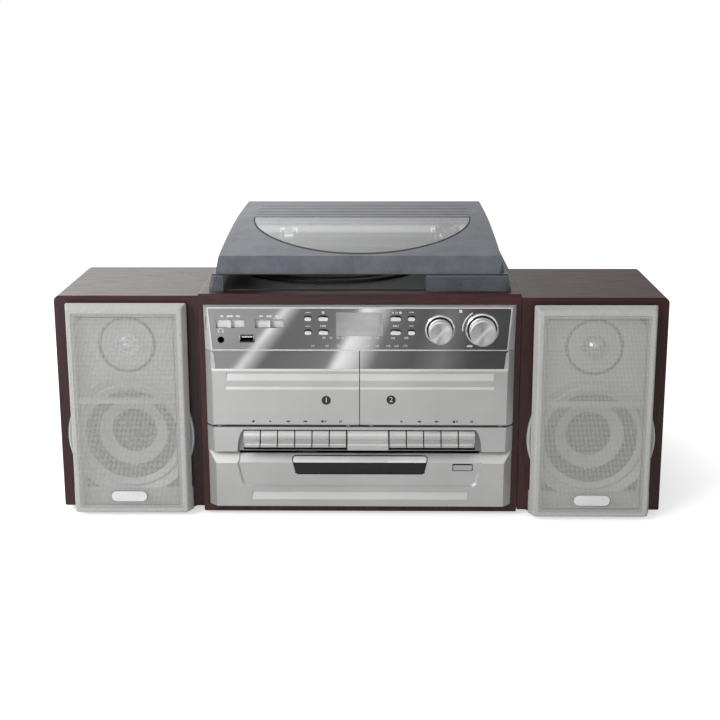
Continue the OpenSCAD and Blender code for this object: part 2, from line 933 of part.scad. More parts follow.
module cassette_deck() {
  x1 = case_w / 2 - side_board - slide_gap;
  well_z0 = key_z1 + slide_gap;
  well_z1 = control_z0 - 1;
  difference() {
    block([0.5, x1], [1, well_depth + 2], [well_z0, well_z1]);
    block([3, x1 - 2], [0, well_depth], [well_z0 + 2.2, well_z1 - 2]);
  }
  translate([deck_x, 0, 0]) {
    for (side = [-1, 1]) {
      facing(side * reel_pitch / 2, well_depth + 1, reel_z) {
        cylinder(h = 15, r = 3);
        cylinder(h = 6, r = 9);
        for (spline = [0 : 120 : 240])
          rotate([0, 0, spline])
            translate([-0.7, 0, 0])
              cube([1.4, 4.3, 14]);
      }
      facing(side * 24, well_depth + 1, well_z0 + 13.5)
        cylinder(h = 17, r = 1.1);
    }
    // head, pinch roller and erase head on their slide
    block([-26, 26], [well_depth - 3, well_depth + 1], [well_z0 + 2, well_z0 + 7.5]);
    block([-6.5, 6.5], [well_depth - 16, well_depth - 2], [well_z0 + 2, well_z0 + 7]);
    block([-22, -15], [well_depth - 15, well_depth - 2], [well_z0 + 2, well_z0 + 6.5]);
    facing(18, well_depth - 2, well_z0 + 4.4)
      cylinder(h = 12, r = 2.2);
    // motor and flywheel on the back of the well
    facing(34, well_depth + 24, reel_z - 4)
      cylinder(h = 23, r = 15);
    facing(-24, well_depth + 10, well_z0 + 24)
      cylinder(h = 9, r = 20);
  }
}

// ------------------------------------------------------------ disc player

// Body of the lower fascia: sloping top, mitred with the sloping sides
module disc_fascia_body(back, z_low) {
  tapered(back, disc_front_y + back,
      wedge(fascia_x - 1.5, fascia_x - 1.5, z_low, disc_z1),
      wedge(disc_front_x, disc_front_x, z_low, disc_z1 - fascia_crease));
}

// Front view of the sunk pane, which carries on from the key bay
function pane_outline(inset) =
  let (x0 = bank_1_x - 6.5 + inset, x1 = bank_2_end + 6.5 - inset, foot = pane_foot_z + inset)
  [
    [x0, disc_z1 + 1],
    [x0 - 0.5, disc_z1 - 13],
    [x0 + 4.5, foot + 2.7],
    [x0 + 8, foot],
    [x1 - 8, foot],
    [x1 - 4.5, foot + 2.7],
    [x1 + 0.5, disc_z1 - 13],
    [x1, disc_z1 + 1]
  ];

// Front view of the tray's front
module tray_outline(grow) {
  half = tray_front_w / 2;
  r = 2.5 + grow;
  slope = 3.2;
  hull()
    for (side = [-1, 1]) {
      translate([side * (half - 2.5), tray_z1 - 2.5])
        circle(r, $fn = 32);
      translate([side * (half - 2.5 - slope), tray_z0 + 2.5])
        circle(r, $fn = 32);
    }
}

module disc_fascia() {
  color([0.77, 0.77, 0.77])
    placed()
      difference() {
        disc_fascia_body(0, disc_z0);
        // the pane lies behind the fascia's face, inside a bevelled rim
        tapered(disc_front_y + pane_depth, disc_front_y - eps,
            pane_outline(pane_rim), pane_outline(0));
        difference() {
          upright(front_y - 2, 0)
            polygon(pane_outline(pane_rim));
          disc_fascia_body(pane_depth, disc_z0);
        }
        tapered(eps, front_y + moulding_wall + pane_depth,
            wedge(fascia_x - 5, fascia_x - 5, disc_z0 + 3, disc_z1 - 3),
            wedge(disc_front_x - 5, disc_front_x - 5,
                disc_z0 + 3, disc_z1 - fascia_crease - 3));
        upright(front_y - 2, 1)
          tray_outline(tray_gap);
        upright(front_y - 2, 1)
          rounded_rect(open_x - open_w / 2, open_x + open_w / 2,
                 open_z - open_h / 2, open_z + open_h / 2, 1.5);
        // room behind it for the button's flange
        upright(front_y + moulding_wall + pane_depth, 1)
          rounded_rect(open_x - open_w / 2 - 1.6, open_x + open_w / 2 + 1.6,
                 open_z - open_h / 2 - 1.6, open_z + open_h / 2 + 1.6, 1.5);
        finger_groove(-113, 112.5, disc_z0 + 7.6, disc_z0 + 16.4, disc_front_y, 2.4);
      }
}

module disc_button() {
  w = open_w - 2.2;
  h = open_h - 2.2;
  flange_y = front_y + moulding_wall + pane_depth + slide_gap;
  color([0.80, 0.80, 0.80])
    placed() {
      upright(disc_front_y + pane_depth - 1.2, flange_y)
        rounded_rect(open_x - w / 2, open_x + w / 2,
                     open_z - h / 2, open_z + h / 2, 1.2);
      upright(flange_y, flange_y + 1)
        rounded_rect(open_x - open_w / 2 - 1, open_x + open_w / 2 + 1,
                     open_z - open_h / 2 - 1, open_z + open_h / 2 + 1, 1.2);
    }
}

module disc_tray() {
  color([0.12, 0.12, 0.13])
    placed()
      difference() {
        union() {
          intersection() {
            disc_fascia_body(pane_depth, tray_z0 - 1);
            upright(front_y - 1, 3)
              tray_outline(0);
          }
          block([-tray_half, tray_half], [0, tray_d],
              [tray_floor_z, tray_floor_z + tray_t]);
        }
        translate([0, disc_y, tray_floor_z + tray_t - 1.8])
          cylinder(h = 5, r = disc_r);
        translate([0, disc_y, tray_floor_z + tray_t - 3])
          cylinder(h = 5, r = 40.4);
        translate([0, disc_y, tray_floor_z - 1])
          cylinder(h = 12, r = 17);
        block([-12, 12], [disc_y, tray_d - 12], [tray_floor_z - 1, tray_floor_z + 9]);
      }
}

// Loader: runners for the tray, sled with lens and hub, and the disc clamp
module disc_loader() {
  rail_x = tray_half + slide_gap;
  base_z = tray_floor_z - slide_gap;
  color([0.16, 0.16, 0.17])
    placed() {
      for (side = [-1, 1])
        mirror([side < 0 ? 1 : 0, 0, 0]) {
          block([rail_x, rail_x + 4], [6, tray_d + 8], [base_board, tray_floor_z + 14]);
          block([rail_x - 6, rail_x + 1], [6, tray_d + 8], [base_z - 3, base_z]);
        }
      difference() {
        block([-rail_x - 1, rail_x + 1], [20, tray_d + 8], [base_z - 15, base_z - 12]);
        block([-12, 12], [40, tray_d - 20], [base_z - 16, base_z - 11]);
      }
      // turntable hub and its motor
      translate([0, disc_y, base_z - 14]) {
        cylinder(h = 13.4, r = 4);
        translate([0, 0, 10])
          cylinder(h = 3.4, r = 13);
      }
      block([-13, 13], [disc_y - 13, disc_y + 13], [base_z - 13, base_z - 6]);
      // laser sled on its rods
      for (x = [-16, 16])
        translate([x, 30, base_z - 10])
          rotate([-90, 0, 0])
            cylinder(h = tray_d - 20, r = 1.5);
      block([-19, 19], [disc_y + 22, disc_y + 44], [base_z - 12, base_z - 7]);
      translate([0, disc_y + 33, base_z - 8])
        cylinder(h = 4, r = 4);
      // clamp bridge
      block([-rail_x - 1, rail_x + 1], [disc_y - 9, disc_y + 9],
          [tray_floor_z + 10, tray_floor_z + 13]);
      translate([0, disc_y, tray_floor_z + 7.5])
        cylinder(h = 4, r = 14);
    }
}

// ------------------------------------------------------------- electronics

// Control board with its switches and controls, and the amplifier board
module main_board() {
  amp_z = base_board + 6;
  amp_x0 = -40;
  amp_x1 = case_w / 2 - 30;
  amp_y = tray_d + 30;
  color([0.10, 0.32, 0.16])
    placed() {
      difference() {
        union() {
          block([-front_x + 8, front_x - 8], [board_y, board_y + board_t],
              [control_z0 + 4, control_z1 - 5]);
          for (b = oval_buttons)
            block([b[0] - 3, b[0] + 3], [board_y - switch_stand + 0.1, board_y + 1],
                [control_z0 + b[1] - 3.2, control_z0 + b[1] + 2.4]);
          for (x = [tuning_x, volume_x])
            facing(x, board_y + 1, knob_z)
              cylinder(h = 9, r = 8);
          facing(jack_x, board_y + 1, jack_z)
            cylinder(h = board_y + 1 - front_y - lens_t, r = jack_body_r);
          usb_shell();
          for (x = [-front_x + 14, front_x - 14])
            facing(x, board_y + 1, control_z1 - 12)
              cylinder(h = board_y + 1 - panel_back - fit_gap, r = 2.5);
        }
        for (x = [tuning_x, volume_x])
          facing(x, board_y + 2, knob_z)
            cylinder(h = 12, r = shaft_r + run_gap);
        facing(jack_x, board_y - 2, jack_z)
          cylinder(h = 30, r = jack_bore_r);
        block([usb_x - usb_w / 2 + 1.4, usb_x + usb_w / 2 - 1.4],
            [front_y - 1, board_y - 3],
            [usb_z - usb_h / 2 + 1.2, usb_z + usb_h / 2 - 1.2]);
      }
      block([usb_x - 5.5, usb_x + 5.5], [front_y + 2, board_y - 2],
          [usb_z + 0.6, usb_z + 2.2]);
      difference() {
        block([amp_x0, amp_x1], [amp_y, case_d - 40], [amp_z, amp_z + board_t]);
        block([amp_x1 - 65, amp_x1 - 45], [amp_y + 30, amp_y + 50], [amp_z - 1, amp_z + 5]);
      }
      for (x = [amp_x0 + 6, amp_x1 - 6], y = [amp_y + 6, case_d - 46])
        translate([x, y, base_board])
          cylinder(h = amp_z - base_board + 0.1, r = 3);
      // heat sink and smoothing capacitors
      for (fin = [0 : 6])
        block([amp_x1 - 35, amp_x1 - 5], [amp_y + 40 + fin * 8, amp_y + 42 + fin * 8],
            [amp_z + 1, amp_z + 42]);
      block([amp_x1 - 37, amp_x1 - 34], [amp_y + 38, amp_y + 92], [amp_z + 1, amp_z + 42]);
      for (y = [amp_y + 30, amp_y + 60])
        translate([amp_x0 + 30, y, amp_z + 1])
          cylinder(h = 36, r = 11);
      block([amp_x0 + 60, amp_x0 + 90], [amp_y + 20, amp_y + 50], [amp_z + 1, amp_z + 5]);
    }
}

module usb_shell() {
  block([usb_x - usb_w / 2 + fit_gap, usb_x + usb_w / 2 - fit_gap],
      [front_y + 0.3, board_y + 1],
      [usb_z - usb_h / 2 + fit_gap, usb_z + usb_h / 2 - fit_gap]);
}

module power_transformer() {
  core = [64, 34, 55];
  coil_y = 28;
  window_x = 16;
  strap_x = 46;
  color([0.35, 0.33, 0.30])
    placed()
      translate([-case_w / 2 + 60, case_d - 90, base_board]) {
        difference() {
          block([-core[0] / 2, core[0] / 2], [-core[1] / 2, core[1] / 2], [1.5, core[2]]);
          for (side = [-1, 1])
            block([side * window_x - 5.5, side * window_x + 5.5],
                [-core[1] / 2 - 1, core[1] / 2 + 1], [12, core[2] - 10]);
        }
        block([-window_x - 4, window_x + 4], [-coil_y, coil_y], [13, core[2] - 11]);
        difference() {
          block([-strap_x, strap_x], [-15, 15], [0, 2]);
          for (side = [-1, 1])
            translate([side * (strap_x - 6), 0, -1])
              cylinder(h = 4, r = 2.2);
        }
      }
}

// --------------------------------------------------------------- turntable

module turntable_deck() {
  color([0.06, 0.06, 0.07])
    placed() {
      difference() {
        union() {
          block([-deck_half_x + fit_gap, deck_half_x - fit_gap],
              [deck_y0 + fit_gap, deck_y1 - fit_gap], [case_h - 4, deck_top]);
          block([-deck_half_x - 3, deck_half_x + 3], [deck_y0 - 3, deck_y1 + 3],
              [case_h, deck_top]);
          translate([platter_x, platter_y, well_floor - 2.5])
            cylinder(h = deck_top - well_floor + 2, r = well_r + well_wall);
          translate([arm_x, arm_y, case_h - 12])
            cylinder(h = 12, r = 9);
          translate([speed_x, speed_y, case_h - 8])
            cylinder(h = 8, r = 5);
          for (x = lid_hinges)
            block([x - 10, x + 10], [deck_y1, lid_pin_y + 3.5],
                [case_h, deck_top]);
          // upstand that closes the gap under the lid's back edge
          block([-deck_half_x - 3, deck_half_x + 3], [deck_y1, lid_pin_y - 2],
              [case_h, deck_top]);
          block([-deck_half_x - 3, deck_half_x + 3], [lid_pin_y - 4, lid_pin_y - 2],
              [case_h, lid_pin_z + 1.5]);
        }
        for (x = lid_hinges)
          block([x - 9.5, x + 9.5], [lid_pin_y - 5, lid_pin_y], [deck_top, lid_pin_z + 3]);
        translate([platter_x, platter_y, well_floor])
          cylinder(h = 40, r = well_r);
        translate([platter_x + motor_dx, platter_y + motor_dy, well_floor - 5])
          cylinder(h = 10, r = pulley_r + 2.5);
        translate([arm_x, arm_y, case_h - 20])
          cylinder(h = 40, r = bearing_r + run_gap);
        translate([speed_x, speed_y, case_h - 20])
          cylinder(h = 40, r = 2 + run_gap);
        translate([platter_x, platter_y, well_floor - 5])
          cylinder(h = 10, r = bearing_r + run_gap);
      }
      // bearing bush of the platter
      translate([platter_x, platter_y, well_floor - 12])
        difference() {
          cylinder(h = 16.7, r = 9);
          translate([0, 0, -1])
            cylinder(h = 30, r = bearing_r + run_gap);
        }
      arm_rest();
      cue_stand();
      for (x = lid_hinges, side = [-1, 1])
        lid_ear(x + side * 7.5);
    }
}

// A cradle beside the platter, open towards it, where the arm lies
module arm_rest() {
  pad_z = arm_z - arm_r - 0.4;
  block([arm_x - 4, arm_x + 7], [rest_y - 3, rest_y + 3], [deck_top - 1, pad_z]);
  block([arm_x + arm_r + 0.6, arm_x + 7], [rest_y - 3, rest_y + 3], [pad_z - 1, arm_z + 3]);
}

module cue_stand() {
  for (x = [cue_x - 4.5, cue_x + 2.5])
    difference() {
      block([x, x + 2], [cue_y - 4, cue_y + 4], [deck_top - 1, cue_z + 4]);
      translate([x - 1, cue_y, cue_z])
        rotate([0, 90, 0])
          cylinder(h = 4, r = 1.5 + run_gap);
    }
}

module lid_ear(x) {
  difference() {
    union() {
      block([x - 1.5, x + 1.5], [lid_pin_y - 3.5, lid_pin_y + 3.5],
          [case_h + 1, lid_pin_z]);
      translate([x - 1.5, lid_pin_y, lid_pin_z])
        rotate([0, 90, 0])
          cylinder(h = 3, r = 3.5);
    }
    translate([x - 2, lid_pin_y, lid_pin_z])
      rotate([0, 90, 0])
        cylinder(h = 4, r = lid_pin_r + run_gap);
  }
}

module platter() {
  color([0.07, 0.07, 0.07])
    placed()
      translate([platter_x, platter_y, 0])
        rotate_extrude()
          polygon([
            [0, well_floor - 9],
            [bearing_r, well_floor - 9],
            [bearing_r, well_floor + 5],
            [10, well_floor + 5],
            [10, platter_top - 4],
            [sub_ring_r - 4, platter_top - 4],
            [sub_ring_r - 4, well_floor + 3],
            [sub_ring_r, well_floor + 3],
            [sub_ring_r, platter_top - 4],
            [platter_r - 4, platter_top - 4],
            [platter_r - 3, well_floor + 7],
            [platter_r - 0.6, well_floor + 7],
            [platter_r, platter_top - 4],
            [platter_r, platter_top - 1.2],
            [platter_r - 1.2, platter_top],
            [hub_r, platter_top],
            [hub_r, mat_top],
            [spindle_r, mat_top],
            [spindle_r, mat_top + spindle_h],
            [spindle_r - 1.6, mat_top + spindle_h + 2],
            [0, mat_top + spindle_h + 2.5]
          ]);
}

// Ribbed rubber mat
module platter_mat() {
  mat_r = platter_r - 2;
  rib = (mat_r - 34) / mat_ribs;
  color([0.05, 0.05, 0.05])
    placed()
      translate([platter_x, platter_y, platter_top])
        difference() {
          cylinder(h = mat_t, r = mat_r);
          translate([0, 0, -1])
            cylinder(h = mat_t + 2, r = hub_r + slide_gap);
          for (i = [0 : mat_ribs - 1])
            translate([0, 0, mat_t - 0.7])
              difference() {
                cylinder(h = 2, r = 32 + (i + 0.55) * rib);
                translate([0, 0, -1])
                  cylinder(h = 4, r = 32 + i * rib);
              }
        }
}

module turntable_motor() {
  color([0.55, 0.55, 0.56])
    placed()
      translate([platter_x + motor_dx, platter_y + motor_dy, 0])
        difference() {
          union() {
            translate([0, 0, well_floor - 27])
              cylinder(h = 22, r = 17);
            translate([0, 0, well_floor - 5.1])
              cylinder(h = 2.5, r = 20);
          }
          translate([0, 0, well_floor - 20])
            cylinder(h = 20, r = 1 + run_gap);
        }
}

module motor_pulley() {
  color([0.75, 0.62, 0.30])
    placed()
      translate([platter_x + motor_dx, platter_y + motor_dy, 0])
        rotate_extrude()
          polygon([
            [0, well_floor - 18],
            [1, well_floor - 18],
            [1, well_floor - 1.5],
            [pulley_r + 1.2, well_floor - 1.5],
            [pulley_r + 1.2, belt_z - 2.6],
            [pulley_r, belt_z - 2.4],
            [pulley_r, belt_z + 2.4],
            [pulley_r + 1.2, belt_z + 2.6],
            [pulley_r + 1.2, belt_z + 3.6],
            [0, belt_z + 3.6]
          ]);
}

// Flat rubber belt round the platter's inner ring and the pulley
module drive_belt() {
  color([0.09, 0.09, 0.09])
    placed()
      translate([platter_x, platter_y, belt_z - 2])
        linear_extrude(4)
          difference() {
            belt_loop(0.9);
            belt_loop(0.25);
          }
}

module belt_loop(grow) {
  hull() {
    circle(sub_ring_r + grow, $fn = 96);
    translate([motor_dx, motor_dy])
      circle(pulley_r + grow, $fn = 32);
  }
}

// Turret that carries the arm and turns on the deck
module tonearm_base() {
  cheek_top = arm_z + 4.5;
  color([0.10, 0.10, 0.11])
    placed()
      translate([arm_x, arm_y, 0]) {
        translate([0, 0, deck_top + slide_gap])
          cylinder(h = 4, r = 15);
        translate([0, 0, case_h - 11])
          cylinder(h = 16, r = bearing_r);
        difference() {
          block([-14, 14], [-9, 9], [deck_top + 3, cheek_top]);
          block([-9.5, 9.5], [-10, 10], [deck_top + 8, cheek_top + 1]);
          translate([-15, 0, arm_z])
            rotate([0, 90, 0])
              cylinder(h = 30, r = 1.5 + run_gap);
        }
      }
}

// Arm: counterweight, pivot block, tube, head shell and cartridge
module tonearm() {
  shell_y = -arm_l + 16;
  color([0.82, 0.82, 0.82])
    placed()
      translate([arm_x, arm_y, arm_z]) {
        translate([-13.5, 0, 0])
          rotate([0, 90, 0])
            cylinder(h = 27, r = 1.5);
        block([-7, 7], [-9, 9], [-4.5, 4.5]);
        translate([0, 34, 0])
          rotate([90, 0, 0])
            cylinder(h = 34 - shell_y - 6, r = arm_r);
        translate([0, 40, 0])
          rotate([90, 0, 0])
            cylinder(h = 20, r = 9);
        translate([0, shell_y + 8, 0])
          rotate([0, 0, head_angle]) {
            linear_extrude(2.5)
              polygon([[-4, 4], [4, 4], [8, -8], [8, -30],
                   [5.5, -34], [-5.5, -34], [-8, -30], [-8, -8]]);
            block([-5.5, 5.5], [-29, -9], [-8, 1]);
            block([8, 13], [-24, -21], [0.5, 2]);
            translate([0, -24, -arm_z + mat_top + 1])
              cylinder(h = arm_z - mat_top - 8, r1 = 0.4, r2 = 1.6);
          }
      }
}

module cue_lever() {
  color([0.15, 0.15, 0.16])
    placed()
      translate([cue_x, cue_y, cue_z]) {
        translate([-4.5, 0, 0])
          rotate([0, 90, 0])
            cylinder(h = 9, r = 1.5);
        translate([-2.2, 0, 0])
          rotate([0, 90, 0])
            cylinder(h = 4.4, r = 3.5);
        rotate([-20, 0, 0]) {
          block([-1.5, 1.5], [-22, 0], [-1.5, 1.5]);
          block([-3, 3], [-28, -20], [-1.5, 2]);
        }
      }
}

// Speed lever with its raised tip
module speed_lever() {
  color([0.65, 0.10, 0.08])
    placed()
      translate([speed_x, speed_y, deck_top + slide_gap]) {
        translate([0, 0, -9])
          cylinder(h = 10, r = 2);
        cylinder(h = 3, r = 8);
        block([-2, 2], [-17, 0], [0, 2.5]);
        translate([0, -16, 0])
          cylinder(h = 6.5, r = 3.2);
      }
}

// --------------------------------------------------------------------- lid

// Side view of the lid's upper tier, with its crowned top
function lid_side(inset) =
  let (
    y0 = lid_front + lid_step + inset,
    y1 = lid_y1 - lid_step - inset,
    z1 = lid_z0 + lid_front_h - inset,
    rise = lid_crown_h - lid_front_h,
    steps = 9,
    span = y1 - y0 - 11
  )
  concat(
    [[y1, lid_z0 + skirt_h - 2 - inset], [y0, lid_z0 + skirt_h - 2 - inset]],
    [for (i = [0 : steps])
      let (t = i / steps)
      [y0 + 3 + span * t,
       z1 + rise * (1 - pow(1 - min(t * 1.35, 1), 2)) - 2 * max(0, t - 0.74)]]
  );

module lid_tier(inset) {
  half = lid_w / 2 - lid_draft - lid_step - inset;
  y0 = lid_front + lid_step + inset;
  y1 = lid_y1 - lid_step - inset;
  intersection() {
    drawn(-lid_w, lid_w)
      polygon(lid_side(inset));
    upright(0, case_d)
      polygon([[-half, lid_z0 + skirt_h - 3 - inset],
           [half, lid_z0 + skirt_h - 3 - inset],
           [half - lid_draft, lid_z0 + lid_front_h],
           [half - lid_draft - 1, lid_z0 + lid_crown_h + 4],
           [-half + lid_draft + 1, lid_z0 + lid_crown_h + 4],
           [-half + lid_draft, lid_z0 + lid_front_h]]);
    translate([0, 0, lid_z0])
      linear_extrude(lid_crown_h + 5)
        rounded_rect(-half, half, y0, y1, lid_corner_r - inset);
  }
}

module lid_skirt(inset) {
  half = lid_w / 2 - inset;
  y0 = lid_front + inset;
  y1 = lid_y1 - inset;
  intersection() {
    upright(0, case_d)
      polygon([[-half, lid_z0], [half, lid_z0],
           [half - lid_draft, lid_z0 + skirt_h - inset],
           [-half + lid_draft, lid_z0 + skirt_h - inset]]);
    translate([0, 0, lid_z0 - 1])
      linear_extrude(skirt_h + 2)
        rounded_rect(-half, half, y0, y1, lid_corner_r - inset);
  }
}

// Half of an ellipse, wider than deep
function half_ellipse(a, b) =
  [for (step = [0 : 40]) [a * cos(180 + step * 4.5), b * sin(180 + step * 4.5)]];

module lid() {
  notch = [-deck_half_x, platter_x + platter_r + 3];
  color([0.35, 0.38, 0.44, 0.7])
    placed() {
      difference() {
        union() {
          lid_skirt(0);
          lid_tier(0);
        }
        lid_skirt(lid_wall);
        lid_tier(lid_wall);
        translate([0, 0, -1])
          lid_skirt(lid_wall);
        // the skirt is open in front of the platter
        block(notch, [lid_front - 1, lid_front + lid_wall + 3],
            [lid_z0 - 1, lid_z0 + skirt_h - 0.5]);
        // clearance along the hinge
        block([-lid_w / 2 - 1, lid_w / 2 + 1], [lid_y1 - 16, lid_y1 + 1],
            [lid_z0 - 1, lid_pin_z]);
        for (x = lid_hinges)
          block([x - 11, x + 11], [lid_y1 - 12, lid_y1 + 1],
              [lid_z0 - 1, lid_pin_z + 7]);
        // edge line of the clear window and the cross grooves
        translate([0, window_y, 0])
          difference() {
            linear_extrude(lid_z0 + lid_crown_h + 2)
              difference() {
                polygon(half_ellipse(window_half, window_depth));
                polygon([
                  for (p = half_ellipse(window_half - window_line, window_depth - window_line))
                    [p[0], min(p[1], -window_line)]
                ]);
              }
            translate([0, -window_y, -0.7])
              lid_tier(0);
            linear_extrude(lid_z0 + skirt_h)
              square(2 * lid_w, center = true);
          }
        for (y = groove_y)
          block([-groove_half, groove_half], [window_y + y, window_y + y + 2],
              [lid_z0 + lid_crown_h - 1.7, lid_z0 + lid_crown_h + 5]);
      }
      // hinge knuckles
      for (x = lid_hinges) {
        translate([x - 9, lid_pin_y, lid_pin_z])
          rotate([0, 90, 0])
            cylinder(h = 18, r = lid_pin_r);
        block([x - 5, x + 5], [lid_pin_y - 3, lid_pin_y + 2.2],
            [lid_pin_z - 2, lid_pin_z + 10]);
      }
    }
}

// ------------------------------------------------------------ loudspeakers

// Loudspeakers are drawn about their own middle, front at Y = 0, foot at 0.
// side is -1 for the left loudspeaker and 1 for the right
module beside(side) {
  set_back = side < 0 ? left_set_back : right_set_back;
  translate([side * (case_w / 2 + speaker_gap + speaker_w / 2),
         set_back - middle_y, speaker_foot_h])
    children();
}

module speaker_case(side) {
  half = speaker_w / 2;
  outer_r = 6;
  color([0.20, 0.09, 0.08])
    beside(side) {
      difference() {
        upright(0, speaker_d)
          mirror([side < 0 ? 1 : 0, 0])
            difference() {
              rounded_rect(-half, half, 0, speaker_h, board_edge_r);
              difference() {
                translate([half - outer_r, speaker_h - outer_r])
                  square(outer_r + 1);
                translate([half - outer_r, speaker_h - outer_r])
                  circle(outer_r);
              }
            }
        block([-half + speaker_board, half - speaker_board],
            [speaker_board, speaker_d - speaker_board],
            [speaker_board, speaker_h - speaker_board]);
        facing(0, speaker_board + 1, woofer_z)
          cylinder(h = speaker_board + 2, r = surround_r - 3);
        facing(0, speaker_board + 1, tweeter_z)
          cylinder(h = speaker_board + 2, r = tweeter_hole_r);
        facing(0, speaker_d + 1, 40)
          cylinder(h = speaker_board + 2, r = 3);
        for (x = [-peg_x, peg_x], z = peg_z)
          facing(x, 8, z)
            cylinder(h = 9, r = peg_r + fit_gap);
      }
      for (x = [-half + 18, half - 18], y = [18, speaker_d - 18])
        translate([x, y, -speaker_foot_h])
          cylinder(h = speaker_foot_h, r = 7);
    }
}

// Front view of the silver plate: a rectangle with its corners cut off
module baffle_outline(inset) {
  half = baffle_half - inset;
  corner = baffle_corner - 0.6 * inset;
  z0 = baffle_z0 + inset;
  z1 = baffle_z1 - inset;
  polygon([
    [-half, z0 + corner], [-half + corner, z0], [half - corner, z0], [half, z0 + corner],
    [half, z1 - corner], [half - corner, z1], [-half + corner, z1], [-half, z1 - corner]
  ]);
}

// Silver front moulding behind the grille: plate, dished woofer ring and foot
module baffle(side) {
  foot_half = grille_w / 2 + 0.5;
  color([0.75, 0.75, 0.77])
    beside(side)
      difference() {
        union() {
          difference() {
            upright(-baffle_proud, 0)
              baffle_outline(0);
            // sunk corners under the woofer, either side of the badge
            upright(-baffle_proud - 1, -1)
              difference() {
                baffle_outline(2);
                translate([0, woofer_z])
                  circle(woofer_ring_r);
                translate([-21, 0])
                  square([42, woofer_z]);
                translate([-baffle_half, woofer_z])
                  square([2 * baffle_half, speaker_h]);
              }
          }
          // the ring dips towards the cone in two steps
          facing(0, 0, woofer_z)
            rotate_extrude()
              polygon([
                [surround_r - 1, 0], [woofer_ring_r, 0],
                [woofer_ring_r, baffle_proud - 1],
                [woofer_ring_r - 0.6, baffle_proud + 0.4],
                [surround_r - 1, baffle_proud + 0.4]
              ]);
          block([-foot_half, foot_half], [-baffle_proud - 0.5, 0], [-2, 22]);
        }
        facing(0, 0, woofer_z)
          rotate_extrude()
            polygon([
              [0, -1],
              [surround_r + fit_gap, -1],
              [surround_r + fit_gap, baffle_proud - 3.4],
              [surround_r + 5.6, baffle_proud - 1],
              [surround_r + 7.2, baffle_proud - 1],
              [surround_r + 8.6, baffle_proud - 3.2],
              [woofer_ring_r - 1.8, baffle_proud + 0.41],
              [0, baffle_proud + 0.41]
            ]);
        facing(0, 1, tweeter_z) {
          cylinder(h = baffle_proud + 2, r = tweeter_hole_r);
          translate([0, 0, baffle_proud - 1])
            cylinder(h = 3, r = tweeter_r);
        }
      }
}

module woofer(side) {
  color([0.25, 0.25, 0.26])
    beside(side)
      facing(0, 0, woofer_z)
        rotate_extrude()
          polygon([
            [0, -62],
            [28, -62],
            [28, -44],
            [16, -40],
            [surround_r - 9, -speaker_board - 6],
            [surround_r - 4, -speaker_board],
            [surround_r - 4, 0],
            [surround_r - 0.4, 0],
            [surround_r - 0.4, 1.6],
            [surround_r - 2.4, 1.6],
            [surround_r - 4.6, 0.6],
            [surround_r - 8, -2.4],
            [cone_r + 2, -6],
            [cone_r, -8],
            [cap_r, -18],
            [cap_r * 0.8, -13.5],
            [cap_r * 0.45, -11],
            [0, -10]
          ]);
}

// Dome tweeter in a flat flange, with a bridge across the dome
module tweeter(side) {
  flange_r = tweeter_r - tweeter_groove;
  bridge_x = 17;
  color([0.65, 0.65, 0.67])
    beside(side)
      facing(0, 0, tweeter_z) {
        rotate_extrude()
          polygon([
            [0, -26],
            [tweeter_hole_r - 2, -26],
            [tweeter_hole_r - 2, 0],
            [tweeter_hole_r - fit_gap, 0],
            [tweeter_hole_r - fit_gap, baffle_proud - 2 + eps],
            [flange_r, baffle_proud - 2 + eps],
            [flange_r, baffle_proud + 0.4],
            [flange_r - 0.8, baffle_proud + 1],
            [13.6, baffle_proud + 0.4],
            [12.8, baffle_proud + 2],
            [11.2, baffle_proud + 2],
            [10, baffle_proud - 0.6],
            [7.6, baffle_proud - 0.6],
            [6.6, baffle_proud + 2],
            [4, baffle_proud + 4],
            [0, baffle_proud + 4.8]
          ]);
        translate([0, 0, baffle_proud + 5])
          linear_extrude(1.2)
            polygon([[-bridge_x, -0.5], [-6, -1.2], [6, -1.2], [bridge_x, -0.5],
                 [bridge_x, 0.5], [6, 1.2], [-6, 1.2], [-bridge_x, 0.5]]);
        for (turn = [0, 180])
          rotate([0, 0, turn])
            translate([bridge_x - 2, -0.5, baffle_proud + 0.3])
              cube([2, 1, 5.9]);
      }
}

// Grille: a bevelled frame with a crossbar, cloth over its front, four pegs
module grille(side) {
  half = grille_w / 2;
  front_half = half - grille_bevel;
  z0 = grille_z0;
  z1 = grille_z0 + grille_h;
  color([0.72, 0.71, 0.68])
    beside(side) {
      difference() {
        tapered(-baffle_proud - 1, -grille_proud,
                [[-half, z0], [half, z0], [half, z1], [-half, z1]],
                [[-front_half, z0 + 2], [front_half, z0 + 2],
                 [front_half, z1 - grille_bevel],
                 [-front_half, z1 - grille_bevel]]);
        block([-front_half + grille_border, front_half - grille_border],
              [-grille_proud + 1, 0],
              [z0 + grille_border + 5, z1 - grille_border - 2]);
      }
      block([-front_half + 1, front_half - 1],
            [-grille_proud + 0.5, -grille_proud + 5],
            [crossbar_z - crossbar_h / 2, crossbar_z + crossbar_h / 2]);
      for (x = [-peg_x, peg_x], z = peg_z)
        facing(x, 6, z)
          cylinder(h = 6 + baffle_proud + 2, r = peg_r);
    }
}

module left_speaker_case() speaker_case(-1);
module left_baffle() baffle(-1);
module left_woofer() woofer(-1);
module left_tweeter() tweeter(-1);
module left_grille() grille(-1);
module right_speaker_case() speaker_case(1);
module right_baffle() baffle(1);
module right_woofer() woofer(1);
module right_tweeter() tweeter(1);
module right_grille() grille(1);

